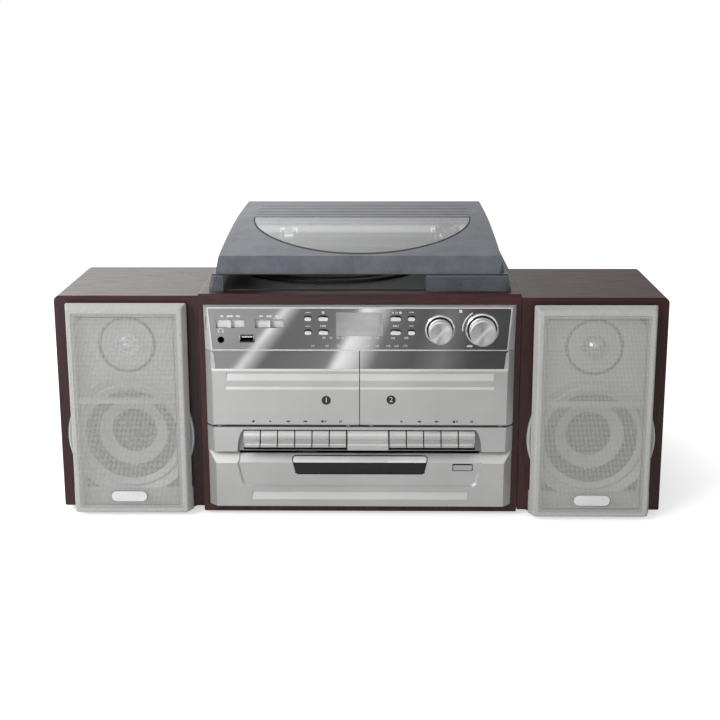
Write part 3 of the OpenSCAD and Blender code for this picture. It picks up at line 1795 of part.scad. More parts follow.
case();
rear_panel();
rear_sockets();
rubber_feet();
control_panel();
control_lens();
key_frame();
disc_fascia();
cassette_decks();
disc_loader();
main_board();
power_transformer();
turntable_deck();
turntable_motor();
drive_belt();
platter();
platter_mat();
motor_pulley();
tonearm_base();
tonearm();
cue_lever();
speed_lever();
lid();
function_switch();
band_switch();
tuning_knob();
volume_knob();
source_button();
timer_button();
clock_button();
skip_back_button();
play_button();
stop_button();
skip_on_button();
mode_button();
left_door();
right_door();
record_key();
play_key_1();
rewind_key_1();
wind_key_1();
stop_key_1();
pause_key_1();
play_key_2();
rewind_key_2();
wind_key_2();
stop_key_2();
pause_key_2();
disc_tray();
disc_button();
left_speaker_case();
left_baffle();
left_woofer();
left_tweeter();
left_grille();
right_speaker_case();
right_baffle();
right_woofer();
right_tweeter();
right_grille();
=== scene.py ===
import math

import bmesh
import bpy
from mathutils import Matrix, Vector


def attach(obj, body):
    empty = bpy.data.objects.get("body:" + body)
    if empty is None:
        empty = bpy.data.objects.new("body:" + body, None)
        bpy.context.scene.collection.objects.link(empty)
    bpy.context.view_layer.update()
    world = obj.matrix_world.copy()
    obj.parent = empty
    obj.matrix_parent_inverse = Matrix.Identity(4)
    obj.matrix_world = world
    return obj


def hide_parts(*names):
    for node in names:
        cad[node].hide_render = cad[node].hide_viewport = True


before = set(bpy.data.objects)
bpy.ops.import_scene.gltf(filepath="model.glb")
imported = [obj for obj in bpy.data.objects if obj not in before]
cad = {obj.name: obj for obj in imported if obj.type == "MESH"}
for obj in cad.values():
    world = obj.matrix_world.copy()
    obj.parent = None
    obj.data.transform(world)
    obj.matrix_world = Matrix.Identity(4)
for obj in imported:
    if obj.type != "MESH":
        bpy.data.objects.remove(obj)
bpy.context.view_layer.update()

# ------------------------------------------------------- camera and studio
# The set stands on a plain pale table in front of a white backdrop. The
# camera is where the photograph was taken from, a little over the lid and
# nearly in the middle, with a long lens.

stage = bpy.context.scene
stage.view_settings.view_transform = "Standard"

camera = bpy.data.objects.new("camera", bpy.data.cameras.new("camera"))
camera.location = (0.0234, -1.5148, 0.5105)
camera.rotation_euler = (1.32367, 0.00253, 0.01638)
camera.data.lens = 67.72
camera.data.sensor_width = 36
camera.data.clip_end = 40
stage.collection.objects.link(camera)
stage.camera = camera


def new_material(name):
    """A material with its node tree and its Principled shader."""
    made = bpy.data.materials.new(name)
    made.use_nodes = True
    return made, made.node_tree, made.node_tree.nodes["Principled BSDF"]


def wire(tree, kind, inputs=(), **settings):
    """A node with its settings, and its inputs set or linked by name or number."""
    made = tree.nodes.new(kind)
    for key, value in settings.items():
        setattr(made, key, value)
    for key, value in dict(inputs).items():
        if isinstance(value, bpy.types.NodeSocket):
            tree.links.new(value, made.inputs[key])
        else:
            made.inputs[key].default_value = value
    return made


def seen_by(tree, *rays):
    """1 for the named kinds of ray, 0 for the light that falls on the set."""
    path = wire(tree, "ShaderNodeLightPath")
    total = path.outputs[rays[0]]
    for ray in rays[1:]:
        total = wire(tree, "ShaderNodeMath", {0: total, 1: path.outputs[ray]},
                     operation="MAXIMUM").outputs[0]
    return total


world = bpy.data.worlds.new("studio")
stage.world = world
world.use_nodes = True
sky = world.node_tree
sky.nodes.clear()
direction = wire(sky, "ShaderNodeTexCoord").outputs["Generated"]
heading = wire(sky, "ShaderNodeSeparateXYZ", {0: direction})
in_front = wire(sky, "ShaderNodeMapRange", {
    "Value": heading.outputs["X"],
    "From Min": -0.3, "From Max": 0.3, "To Min": 1.25, "To Max": 0.7})
behind = wire(sky, "ShaderNodeMapRange", {
    "Value": heading.outputs["X"],
    "From Min": -0.16, "From Max": 0.16, "To Min": 1.5, "To Max": 0.34})
front_to_back = wire(sky, "ShaderNodeMapRange", {
    "Value": heading.outputs["Y"], "From Min": -0.2, "From Max": 0.2})
mirrored = wire(sky, "ShaderNodeMix", {
    0: front_to_back.outputs[0], 2: in_front.outputs[0], 3: behind.outputs[0]}, data_type="FLOAT")
WHITE = (1, 1, 1, 1)
room_light = wire(sky, "ShaderNodeBackground", {"Color": WHITE, "Strength": 0.26})
mirrored_room = wire(sky, "ShaderNodeBackground", {"Color": WHITE, "Strength": mirrored.outputs[0]})
white_wall = wire(sky, "ShaderNodeBackground", {"Color": WHITE, "Strength": 1.0})
shown = wire(sky, "ShaderNodeMixShader", {
    0: seen_by(sky, "Is Glossy Ray"), 1: room_light.outputs[0], 2: mirrored_room.outputs[0]})
shown = wire(sky, "ShaderNodeMixShader", {
    0: seen_by(sky, "Is Camera Ray", "Is Transmission Ray"),
    1: shown.outputs[0], 2: white_wall.outputs[0]})
wire(sky, "ShaderNodeOutputWorld", {"Surface": shown.outputs[0]})


def flat_quad(name, x, y, z):
    """A level rectangle of the studio."""
    mesh = bpy.data.meshes.new(name)
    mesh.from_pydata([(x[0], y[0], z), (x[1], y[0], z), (x[1], y[1], z), (x[0], y[1], z)],
                     [], [(0, 1, 2, 3)])
    quad = bpy.data.objects.new(name, mesh)
    stage.collection.objects.link(quad)
    return quad


table = flat_quad("table", (-9, 9), (-9, 9), 0.0)
paper, tree, shader = new_material("white_paper")
tree.nodes.remove(shader)
matt = wire(tree, "ShaderNodeBsdfDiffuse", {"Color": (0.82, 0.82, 0.82, 1)})
from_set = wire(tree, "ShaderNodeVectorMath", {
    0: wire(tree, "ShaderNodeTexCoord").outputs["Object"]}, operation="LENGTH")
lift = wire(tree, "ShaderNodeMapRange", {
    "Value": from_set.outputs["Value"],
    "From Min": 0.34, "From Max": 0.50, "To Min": 0.60, "To Max": 0.95})
glow = wire(tree, "ShaderNodeEmission", {"Color": WHITE, "Strength": lift.outputs[0]})
lit = wire(tree, "ShaderNodeAddShader", {0: matt.outputs[0], 1: glow.outputs[0]})
mixed = wire(tree, "ShaderNodeMixShader", {
    0: seen_by(tree, "Is Camera Ray", "Is Transmission Ray"),
    1: matt.outputs[0], 2: lit.outputs[0]})
tree.links.new(mixed.outputs[0], tree.nodes["Material Output"].inputs["Surface"])
table.data.materials.append(paper)

# A striped reflector lies in front of the set, outside the view. Only glossy
# surfaces see it: it gives the mirror strips their soft slanting bands.
reflector = flat_quad("reflector", (-1.1, 1.1), (-1.45, -0.62), 0.004)
stripes, tree, shader = new_material("reflector_stripes")
tree.nodes.remove(shader)
place = wire(tree, "ShaderNodeTexCoord").outputs["Object"]
axes = wire(tree, "ShaderNodeSeparateXYZ", {0: place})
SLANT, SHIFT, BANDS_REACH = 0.0957, 0.0869, 0.35
slant = wire(tree, "ShaderNodeMath", {0: axes.outputs["Y"], 1: SLANT, 2: SHIFT},
             operation="MULTIPLY_ADD")
across = wire(tree, "ShaderNodeMath", {0: axes.outputs["X"], 1: slant.outputs[0]})
along = wire(tree, "ShaderNodeMapRange", {
    "Value": across.outputs[0], "From Min": -BANDS_REACH, "From Max": BANDS_REACH})
bands = wire(tree, "ShaderNodeValToRGB", {0: along.outputs[0]})
levels = [(-0.34, 0.55), (-0.215, 0.42), (-0.190, 0.40), (-0.179, 1.15), (-0.168, 0.62),
          (-0.150, 0.20), (-0.085, 0.24), (-0.050, 0.30), (-0.036, 1.25), (-0.012, 0.85),
          (0.020, 0.22), (0.075, 0.14), (0.120, 0.24), (0.165, 0.10), (0.340, 0.06)]
while len(bands.color_ramp.elements) < len(levels):
    bands.color_ramp.elements.new(0.5)
for stop, (where, level) in zip(bands.color_ramp.elements, levels):
    stop.position = (where + BANDS_REACH) / (2 * BANDS_REACH)
    stop.color = (level, level, level, 1)
glow = wire(tree, "ShaderNodeEmission", {"Color": bands.outputs[0], "Strength": 2.0})
clear = wire(tree, "ShaderNodeBsdfTransparent")
mixed = wire(tree, "ShaderNodeMixShader", {
    0: seen_by(tree, "Is Glossy Ray"), 1: clear.outputs[0], 2: glow.outputs[0]})
tree.links.new(mixed.outputs[0], tree.nodes["Material Output"].inputs["Surface"])
reflector.data.materials.append(stripes)


def softbox(name, place, aim, size, watts):
    """A soft rectangular lamp at a place, turned to its aim."""
    lamp = bpy.data.lights.new(name, "AREA")
    lamp.shape = "RECTANGLE"
    lamp.size, lamp.size_y = size
    lamp.energy = watts
    held = bpy.data.objects.new(name, lamp)
    held.location = place
    held.rotation_euler = (Vector(aim) - Vector(place)).to_track_quat("-Z", "Y").to_euler()
    stage.collection.objects.link(held)


softbox("key_light", (-1.25, -1.55, 1.15), (-0.05, -0.1, 0.12), (0.9, 0.9), 27)
softbox("fill_light", (1.5, -1.7, 0.9), (0, -0.1, 0.12), (1.0, 1.0), 4)
softbox("top_light", (-0.62, 0.30, 0.85), (-0.1, 0, 0.26), (0.5, 0.5), 3.2)

# ------------------------------------------------------------ wooden cases
# Five boards of pressed wood folded into a box and wrapped in a dark
# mahogany veneer with a satin lacquer. The veneer's grain runs across the
# top and down the sides. The loudspeaker cases are made the same way.


def dress(node, *materials):
    """Gives a CAD node its materials."""
    cad[node].data.materials.clear()
    for one in materials:
        cad[node].data.materials.append(one)


def three(value):
    """A number three times over. A colour or a row of scales stays as it is."""
    return value if isinstance(value, tuple) else (value,) * 3


def grain(tree, place, scale, detail, roughness=0.6):
    """Noise, drawn out along an axis where a scale is given for each axis."""
    drawn = wire(tree, "ShaderNodeMapping", {"Vector": place, "Scale": three(scale)})
    return wire(tree, "ShaderNodeTexNoise", {
        "Vector": drawn.outputs[0], "Scale": 1.0, "Detail": detail, "Roughness": roughness,
    }).outputs["Fac"]


def ramp(tree, value, *stops):
    """A ramp from stops of (position, colour or grey level)."""
    made = wire(tree, "ShaderNodeValToRGB", {0: value})
    while len(made.color_ramp.elements) < len(stops):
        made.color_ramp.elements.new(0.5)
    for stop, (where, colour) in zip(made.color_ramp.elements, stops):
        stop.position = where
        stop.color = (*three(colour), 1)
    return made.outputs[0]


def relief(tree, shader, height, strength, distance):
    """Bump on a shader."""
    made = wire(tree, "ShaderNodeBump", {
        "Height": height, "Strength": strength, "Distance": distance})
    tree.links.new(made.outputs[0], shader.inputs["Normal"])


def math_node(tree, operation, a, b=0.0, c=0.0):
    """The outcome of one sum on numbers or sockets."""
    return wire(tree, "ShaderNodeMath", {0: a, 1: b, 2: c}, operation=operation).outputs[0]


TOP_BOARD_Z = 0.2225

veneer, tree, shader = new_material("mahogany_veneer")
coordinates = wire(tree, "ShaderNodeTexCoord")
place = coordinates.outputs["Object"]
facing = wire(tree, "ShaderNodeSeparateXYZ", {0: coordinates.outputs["Normal"]})
axes = wire(tree, "ShaderNodeSeparateXYZ", {0: place})
on_top = math_node(tree, "GREATER_THAN", math_node(tree, "ABSOLUTE", facing.outputs["Z"]), 0.6)
top_edge = math_node(tree, "MULTIPLY",
                     math_node(tree, "GREATER_THAN",
                               math_node(tree, "ABSOLUTE", facing.outputs["Y"]), 0.6),
                     math_node(tree, "GREATER_THAN", axes.outputs["Z"], TOP_BOARD_Z))
level_grain = math_node(tree, "MAXIMUM", on_top, top_edge)


def veneer_layer(across, along, detail):
    """Noise that runs across the top and down the sides."""
    level = grain(tree, place, (along, across, across), detail)
    upright = grain(tree, place, (across, across, along), detail)
    return wire(tree, "ShaderNodeMix", {0: level_grain, 2: upright, 3: level},
                data_type="FLOAT").outputs[0]


figure = veneer_layer(70, 5, 3.0)
pores = veneer_layer(900, 28, 2.0)
wood = ramp(tree, figure, (0.28, (0.022, 0.0034, 0.0042)), (0.52, (0.040, 0.0066, 0.0078)),
            (0.75, (0.068, 0.0125, 0.0138)))
pore_dark = ramp(tree, pores, (0.36, (0.30, 0.26, 0.26)), (0.50, (1, 1, 1)))
shade = wire(tree, "ShaderNodeMix", {0: 1.0, 6: wood, 7: pore_dark},
             data_type="RGBA", blend_type="MULTIPLY")
tree.links.new(shade.outputs[2], shader.inputs["Base Color"])
tree.links.new(ramp(tree, pores, (0.3, 0.60), (0.6, 0.38)), shader.inputs["Roughness"])
relief(tree, shader, pores, 0.5, 0.0002)
shader.inputs["Specular IOR Level"].default_value = 0.40
shader.inputs["Coat Weight"].default_value = 0.30
shader.inputs["Coat Roughness"].default_value = 0.30
for node in ("case", "left_speaker_case", "right_speaker_case"):
    dress(node, veneer)

# ------------------------------------------ feet, rear panel and its sockets
# Soft black rubber feet are screwed under the base board. The back is a
# thin moulded panel with vent slots; line sockets, loudspeaker terminals and
# cable glands of nickelled metal and plastic sit in it.


def finish(name, dark, light, roughness, scale, detail=2.0, metallic=0.0, bump=(),
           stops=(0.3, 0.7)):
    """A finish whose tone wanders with noise, and its gloss too where a pair is given."""
    made, tree, shader = new_material(name)
    noise = grain(tree, wire(tree, "ShaderNodeTexCoord").outputs["Object"], scale, detail)
    tone = ramp(tree, noise, (stops[0], dark), (stops[1], light))
    tree.links.new(tone, shader.inputs["Base Color"])
    if isinstance(roughness, tuple):
        gloss = ramp(tree, noise, (0.3, roughness[0]), (0.7, roughness[1]))
        tree.links.new(gloss, shader.inputs["Roughness"])
    else:
        shader.inputs["Roughness"].default_value = roughness
    shader.inputs["Metallic"].default_value = metallic
    if bump:
        relief(tree, shader, noise, *bump)
    return made


rubber = finish("black_rubber", 0.012, 0.028, 0.78, 420, 3.0, bump=(0.3, 0.0002),
                stops=(0.35, 0.7))
dress("rubber_feet", rubber)
dress("drive_belt", rubber)


def moulded(name, colour, roughness):
    """Moulded plastic with a fine spark-eroded grain."""
    made, tree, shader = new_material(name)
    place = wire(tree, "ShaderNodeTexCoord").outputs["Object"]
    fine = grain(tree, place, 1400, 2.0)
    wide = grain(tree, place, 14, 2.0)
    dark = tuple(c * 0.88 for c in colour)
    light = tuple(min(1.0, c * 1.1) for c in colour)
    tree.links.new(ramp(tree, wide, (0.3, dark), (0.7, light)), shader.inputs["Base Color"])
    tree.links.new(ramp(tree, fine, (0.3, roughness - 0.06), (0.7, roughness + 0.08)),
                   shader.inputs["Roughness"])
    relief(tree, shader, fine, 0.35, 0.00008)
    return made


black_plastic = moulded("black_plastic", (0.022, 0.022, 0.024), 0.5)
for node in ("rear_panel", "cassette_decks", "disc_loader"):
    dress(node, black_plastic)

nickel = finish("nickel", (0.56, 0.53, 0.49), (0.72, 0.70, 0.66), (0.30, 0.18),
                (160, 160, 900), 3.0, metallic=1.0)
dress("rear_sockets", nickel)

# --------------------------------------------- transformer and circuit boards
# Inside the case: a laminated mains transformer and two green boards with
# their sockets, controls and heat sink, screwed down or snapped in.

steel = finish("laminated_steel", (0.10, 0.09, 0.08), (0.22, 0.20, 0.18), 0.45,
               (20, 2200, 20), 1.0, metallic=0.7, stops=(0.4, 0.6))
board_green = finish("solder_resist", (0.02, 0.11, 0.04), (0.04, 0.19, 0.07), 0.3,
                     260, 1.0, stops=(0.47, 0.5))
dress("power_transformer", steel)
dress("main_board", board_green)

# ------------------------------------------------------- fascia mouldings
# The fascia is four mouldings of ABS, one over the other: control panel,
# cassette doors, piano key frame and disc player front. They are sprayed
# satin silver and snap into the opening of the case.


def silver_paint(name, colour, roughness, metallic=0.6):
    """Sprayed silver: a fine flake over an even tone, a little worn in places."""
    made, tree, shader = new_material(name)
    place = wire(tree, "ShaderNodeTexCoord").outputs["Object"]
    flake = grain(tree, place, 2600, 1.0)
    cloud = grain(tree, place, 9, 3.0)
    dark = tuple(c * 0.93 for c in colour)
    light = tuple(c * 1.04 for c in colour)
    tone = ramp(tree, cloud, (0.3, dark), (0.7, light))
    sparkle = ramp(tree, flake, (0.35, 0.90), (0.65, 1.0))
    shade = wire(tree, "ShaderNodeMix", {0: 1.0, 6: tone, 7: sparkle},
                 data_type="RGBA", blend_type="MULTIPLY")
    tree.links.new(shade.outputs[2], shader.inputs["Base Color"])
    tree.links.new(ramp(tree, cloud, (0.3, roughness - 0.04), (0.7, roughness + 0.05)),
                   shader.inputs["Roughness"])
    shader.inputs["Metallic"].default_value = metallic
    relief(tree, shader, flake, 0.12, 0.00004)
    return made


silver = silver_paint("fascia_silver", (0.62, 0.62, 0.615), 0.36)
rim_silver = silver_paint("rim_silver", (0.90, 0.90, 0.895), 0.26, 0.45)
# Painted shade: a darker copy of the silver for the floor of the key bay, and a black for the gaps
# and the walls of openings. The black is also the lens recess's own black.
painted_shade_silver = silver_paint("painted_shade_silver", (0.34, 0.34, 0.34), 0.42)
black_and_gap_shade = moulded("black_and_gap_shade", (0.006, 0.006, 0.006), 0.7)

MM = 0.001
CASE_FRONT_Y = -0.1615
CASE_FOOT_Z = 0.004


def at(x, y, z):
    """A point given in mm from the middle of the case's front, at its underside."""
    return Vector((x * MM, y * MM + CASE_FRONT_Y, z * MM + CASE_FOOT_Z))


def paint_faces(node, choose):
    """Gives each face of a CAD node the material number that choose(middle, normal) says."""
    mesh = cad[node].data
    for face in mesh.polygons:
        face.material_index = choose(face.center, face.normal)


def in_case(middle):
    """A point's place in mm: from the middle, the case's front and its underside."""
    return middle.x / MM, (middle.y - CASE_FRONT_Y) / MM, (middle.z - CASE_FOOT_Z) / MM


def inside(x, z, field):
    """Whether a place lies in a field of the front: left, right, foot and top in mm."""
    return field[0] < x < field[1] and field[2] < z < field[3]


LENS_RECESS, LENS_BED_Y = (-147.6, 147.6, 177.6, 221.6), -7.2
KEY_BAY, KEY_BAY_Y, BAY_FLOOR_Y = (-128, 128, 68.5, 92.6), -4.6, -4.4
TRAY_OPENING, BUTTON_OPENING = (-72, 72, 42.6, 63.2), (95.8, 118.8, 46.4, 55.6)


def panel_part(middle, normal):
    """The recess behind the lens and the openings in it are unpainted black."""
    x, y, z = in_case(middle)
    return 1 if inside(x, z, LENS_RECESS) and y > LENS_BED_Y else 0


def key_frame_part(middle, normal):
    """The floor of the key bay is a darker silver as painted shade, and its walls and the openings
    in it are painted black as shade.
    """
    x, y, z = in_case(middle)
    if inside(x, z, KEY_BAY) and y > KEY_BAY_Y:
        return 1 if abs(normal.y) > 0.7 and y < BAY_FLOOR_Y else 2
    return 0


def fascia_part(middle, normal):
    """The edges of the tray's and the button's openings are painted black as shade."""
    x, y, z = in_case(middle)
    in_opening = inside(x, z, TRAY_OPENING) or inside(x, z, BUTTON_OPENING)
    return 1 if in_opening and abs(normal.y) < 0.6 else 0


dress("control_panel", rim_silver, black_and_gap_shade)
dress("key_frame", silver, painted_shade_silver, black_and_gap_shade)
dress("disc_fascia", silver, black_and_gap_shade)
paint_faces("control_panel", panel_part)
paint_faces("key_frame", key_frame_part)
paint_faces("disc_fascia", fascia_part)

# ------------------------------------------------- mirror lens and display
# A tinted acrylic lens, half mirrored from behind, is glued into the control
# panel. The display shows through it as a slightly paler window. The two
# knob dishes are moulded with it and have chromed rims.

half_mirror = finish("half_mirror", (0.30, 0.30, 0.305), (0.37, 0.37, 0.375), (0.055, 0.03),
                     (6, 6, 26), metallic=1.0)
chrome = finish("chrome_rim", 0.82, 0.90, (0.16, 0.10), 300, metallic=1.0)
# Black for the knob dishes, also painted as shade on the edges round the lens and its holes.
dish_black_and_gap_shade = finish("dish_black_and_gap_shade", 0.012, 0.020, 0.25, 700)

KNOBS = {"tuning_knob": (82.0, 12.4), "volume_knob": (124.8, 14.0)}
KNOB_Z = 199.0
LENS_Y = -8.5
RIM_IN, RIM_OUT, RIM_PROUD = 1.0, 3.2, 0.2
DISHES = (60, 143)


def lens_part(middle, normal):
    """Chromed rims and black dishes in them; the edges round the lens and its holes are painted
    black as shade.
    """
    x, y, z = in_case(middle)
    if abs(normal.y) < 0.5 and not DISHES[0] < x < DISHES[1]:
        return 2
    for knob_x, r in KNOBS.values():
        away = math.hypot(x - knob_x, z - KNOB_Z)
        if away < r + RIM_OUT:
            return 1 if away > r + RIM_IN and y < LENS_Y - RIM_PROUD else 2
    return 0


dress("control_lens", half_mirror, chrome, dish_black_and_gap_shade)
paint_faces("control_lens", lens_part)


def plate(name, body, outlines, y_front, thick, material):
    """Thin upright plates, facing the front, from outlines of (x, z) points in mm."""
    work = bmesh.new()
    for outline in outlines:
        front = [work.verts.new(at(x, y_front, z)) for x, z in outline]
        back = [work.verts.new(at(x, y_front + thick, z)) for x, z in outline]
        work.faces.new(front)
        work.faces.new(reversed(back))
        for i in range(len(front)):
            j = (i + 1) % len(front)
            work.faces.new((front[i], back[i], back[j], front[j]))
    bmesh.ops.recalc_face_normals(work, faces=work.faces)
    mesh = bpy.data.meshes.new(name)
    work.to_mesh(mesh)
    work.free()
    mesh.materials.append(material)
    piece = bpy.data.objects.new(name, mesh)
    stage.collection.objects.link(piece)
    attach(piece, body)


def rectangle(x0, x1, z0, z1):
    """The outline of an upright rectangle."""
    return [(x0, z0), (x1, z0), (x1, z1), (x0, z1)]


display_glass = finish("display_glass", (0.37, 0.37, 0.375), 0.45, 0.16, (40, 40, 90),
                       metallic=0.95)
display_edge = finish("display_edge", 0.34, 0.46, 0.35, 300)
DISPLAY = (-23.8, 24.1, 192.8, 216.8)
plate("display_window", "main_unit", [rectangle(*DISPLAY)],
      LENS_Y - 0.03, 0.05, display_glass)

left, right, foot, top = DISPLAY
plate("display_bar", "main_unit",
      [rectangle(right - 3.5, right - 0.5, foot + 0.4, top - 0.4),
       rectangle(left, right, top - 0.4, top + 0.1),
       rectangle(left, right, foot - 0.4, foot + 0.1)],
      LENS_Y - 0.05, 0.05, display_edge)

# ------------------------------------------------- slide switches, buttons
# White glossy caps: two slide switches whose shutters cover their windows,
# and eight oval push buttons in two blocks, each in a hole that is a little
# taller than its cap. The back of each cap and the edges of its hole are
# painted black as shade, so the hole looks dark above the cap.

white_caps = finish("white_caps", (0.76, 0.77, 0.76), (0.84, 0.84, 0.83), (0.24, 0.32), 60)
BUTTONS = ("source", "timer", "clock", "skip_back", "play", "stop", "skip_on", "mode")
CAP_BACK_Y = -7
for node in ("function_switch", "band_switch"):
    dress(node, white_caps)
# The back part of each button cap is painted black as shade.
for node in BUTTONS:
    dress(node + "_button", white_caps, black_and_gap_shade)
    paint_faces(node + "_button",
                lambda middle, normal: 1 if in_case(middle)[1] > CAP_BACK_Y else 0)

# ------------------------------------------------------------ rotary knobs
# Turned aluminium caps on a plastic core, with a spun face that throws a
# star of highlights and a bright chamfer round it.

spun, tree, shader = new_material("spun_aluminium")
place = wire(tree, "ShaderNodeTexCoord").outputs["Generated"]
centred = wire(tree, "ShaderNodeVectorMath", {0: place, 1: (0.5, 0.5, 0.5)},
               operation="SUBTRACT").outputs[0]
parts = wire(tree, "ShaderNodeSeparateXYZ", {0: centred})
flat = wire(tree, "ShaderNodeCombineXYZ", {"X": parts.outputs["X"], "Z": parts.outputs["Z"]})
radius = wire(tree, "ShaderNodeVectorMath", {0: flat.outputs[0]},
              operation="LENGTH").outputs["Value"]
fine_rings = wire(tree, "ShaderNodeTexNoise", {
    "W": math_node(tree, "MULTIPLY", radius, 160.0), "Scale": 1.0, "Detail": 2.0},
    noise_dimensions="1D").outputs["Fac"]
tree.links.new(ramp(tree, fine_rings, (0.3, (0.60, 0.60, 0.605)), (0.7, (0.88, 0.88, 0.875))),
               shader.inputs["Base Color"])
tree.links.new(ramp(tree, fine_rings, (0.3, 0.30), (0.7, 0.22)), shader.inputs["Roughness"])
shader.inputs["Metallic"].default_value = 1.0
shader.inputs["Anisotropic"].default_value = 0.95
tangent = wire(tree, "ShaderNodeTangent", direction_type="RADIAL", axis="Y")
tree.links.new(tangent.outputs[0], shader.inputs["Tangent"])
relief(tree, shader, fine_rings, 0.12, 0.0001)
for node in KNOBS:
    dress(node, spun)

# -------------------------------------------------------- printed markings
# Dial numbers, small transport symbols and tick marks are printed in white
# on the lens and in black on the silver. Names and words are left off.

INK = 0.04


def ink(name, colour):
    """Printing ink, a little worn."""
    return finish(name, tuple(c * 0.85 for c in colour), colour, 0.5, 900, stops=(0.3, 0.6))


white_ink = ink("white_ink", (0.80, 0.80, 0.79))
black_ink = ink("black_ink", (0.018, 0.018, 0.018))


def printed(name, body, marks, height, y_front, material):
    """Printed characters: marks are (text, x, z) with the middle of each in mm."""
    pieces = []
    for text, x, z in marks:
        font = bpy.data.curves.new(name, "FONT")
        font.body = text
        font.size = height * 1.4 * MM
        font.align_x, font.align_y = "CENTER", "CENTER"
        font.extrude = 0.5 * INK * MM
        font.resolution_u = 3
        letters = bpy.data.objects.new(name, font)
        stage.collection.objects.link(letters)
        bpy.context.view_layer.update()
        mesh = bpy.data.meshes.new_from_object(letters)
        bpy.data.objects.remove(letters)
        for vertex in mesh.vertices:
            p = vertex.co
            spot = at(x, y_front, z)
            vertex.co = (spot.x + p.x, spot.y - p.z, spot.z + p.y)
        pieces.append(mesh)
    work = bmesh.new()
    for mesh in pieces:
        work.from_mesh(mesh)
        bpy.data.meshes.remove(mesh)
    bmesh.ops.remove_doubles(work, verts=work.verts, dist=0.000001)
    bmesh.ops.recalc_face_normals(work, faces=work.faces)
    joined = bpy.data.meshes.new(name)
    work.to_mesh(joined)
    work.free()
    joined.materials.append(material)
    piece = bpy.data.objects.new(name, joined)
    stage.collection.objects.link(piece)
    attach(piece, body)


DIAL_HEIGHT = 2.3
DIALS = {
    "fm_numbers": (190.3, (("88", -36.3), ("92", -29.1), ("94", -22.0), ("96", -17.4),
                           ("98", -6.1), ("100", 3.5), ("102", 9.4), ("104", 17.7),
                           ("106", 34.0), ("108", 47.4))),
    "am_numbers": (181.9, (("53", -47.7), ("60", -33.1), ("70", -21.9), ("80", -9.8),
                           ("90", -2.4), ("100", 7.9), ("120", 17.7), ("140", 29.2),
                           ("160", 37.4), ("170", 46.5))),
}
for name, (z, numbers) in DIALS.items():
    printed(name, "main_unit", [(text, x, z) for text, x in numbers], DIAL_HEIGHT,
            LENS_Y - INK, white_ink)


def arc_band(x, z, r_in, r_out, start, stop, steps=14):
    """A band round a centre, between two angles in degrees from the right."""
    turn = [math.radians(start + (stop - start) * i / steps) for i in range(steps + 1)]
    return ([(x + r_out * math.cos(a), z + r_out * math.sin(a)) for a in turn]
            + [(x + r_in * math.cos(a), z + r_in * math.sin(a)) for a in reversed(turn)])


SWITCH_MARKS = ((-140, 1.6), (-131.9, 3.2), (-123.8, 1.8), (-100, 1.8), (-91.9, 2.6), (-83.8, 1.6))
volume_arc = arc_band(KNOBS["volume_knob"][0], KNOB_Z, 19.2, 20.5, 120, 184)
knob_signs = [rectangle(101.2, 104.3, 216.7, 219.8), rectangle(109.6, 115.2, 181.0, 182.9)]
headphones = [arc_band(-141.6, 197.4, 2.2, 2.9, 0, 180, 10),
              rectangle(-144.6, -143.2, 195.8, 197.6), rectangle(-140.0, -138.6, 195.8, 197.6)]
plate("lens_marks", "main_unit",
      [volume_arc, *knob_signs, *headphones,
       *(rectangle(x - wide, x + wide, 212.0, 213.9) for x, wide in SWITCH_MARKS)],
      LENS_Y - INK, INK, white_ink)


def right_arrow(x, z, size=2.2):
    """A small triangle that points right."""
    return [(x - size / 2, z - size / 2), (x + size / 2, z), (x - size / 2, z + size / 2)]


def left_arrow(x, z, size=2.2):
    """A small triangle that points left."""
    return [(x + size / 2, z + size / 2), (x - size / 2, z), (x + size / 2, z - size / 2)]


def bar(x, z, wide=0.6, high=2.2):
    """An upright bar, or a square."""
    return rectangle(x - wide / 2, x + wide / 2, z - high / 2, z + high / 2)


skip_back_sign = [left_arrow(-37.6, 202.8), left_arrow(-35.4, 202.8), bar(-39.4, 202.8)]
skip_on_sign = [right_arrow(35.4, 202.8), right_arrow(37.6, 202.8), bar(39.4, 202.8)]
play_sign = [right_arrow(34.6, 216.6), bar(37.2, 216.6), bar(38.6, 216.6), bar(41.6, 216.6, 2.2)]
stop_sign = [bar(-36.8, 216.8, 2.4, 2.4)]
dashes = [bar(x, z, 5, 0.6) for x, z in ((-52.4, 216.8), (-52.4, 202.6), (53, 217.2), (53, 203))]
plate("button_symbols", "main_unit",
      [*skip_back_sign, *skip_on_sign, *play_sign, *stop_sign, *dashes],
      LENS_Y - INK, INK, white_ink)

# -------------------------------------------------- sockets in the fascia
# The headphone socket is a bare black bore of its own body. The memory
# stick socket is black too, with a bright metal tongue across its middle.

socket_black = moulded("socket_black", (0.010, 0.010, 0.010), 0.6)
dress("main_board", board_green, socket_black, nickel)


JACK, JACK_R = (-141.6, 188.2), 5.5
STICK_SOCKET, STICK_TONGUE_Z = (-123.5, -106.5, 185.1, 194.1), (190.0, 192.0)
SOCKETS_BACK_Y = 11


def board_part(middle, normal):
    """Both sockets are black, but for the bright tongue of the memory stick socket."""
    x, y, z = in_case(middle)
    if y < SOCKETS_BACK_Y:
        if math.hypot(x - JACK[0], z - JACK[1]) < JACK_R:
            return 1
        if inside(x, z, STICK_SOCKET):
            return 2 if STICK_TONGUE_Z[0] < z < STICK_TONGUE_Z[1] else 1
    return 0


paint_faces("main_board", board_part)

# ----------------------------------------------------------- cassette doors
# Each door is a silver moulding that tips forward on two pins. A dark mirror
# strip is glued along its top, and black printing numbers the two decks.

STRIP_Y, STRIP_Z, STRIP_X = (-7.32, -6.55), 157.45, 149.2
HOLDER_Y, DOOR_FOOT_Z = -0.45, 98


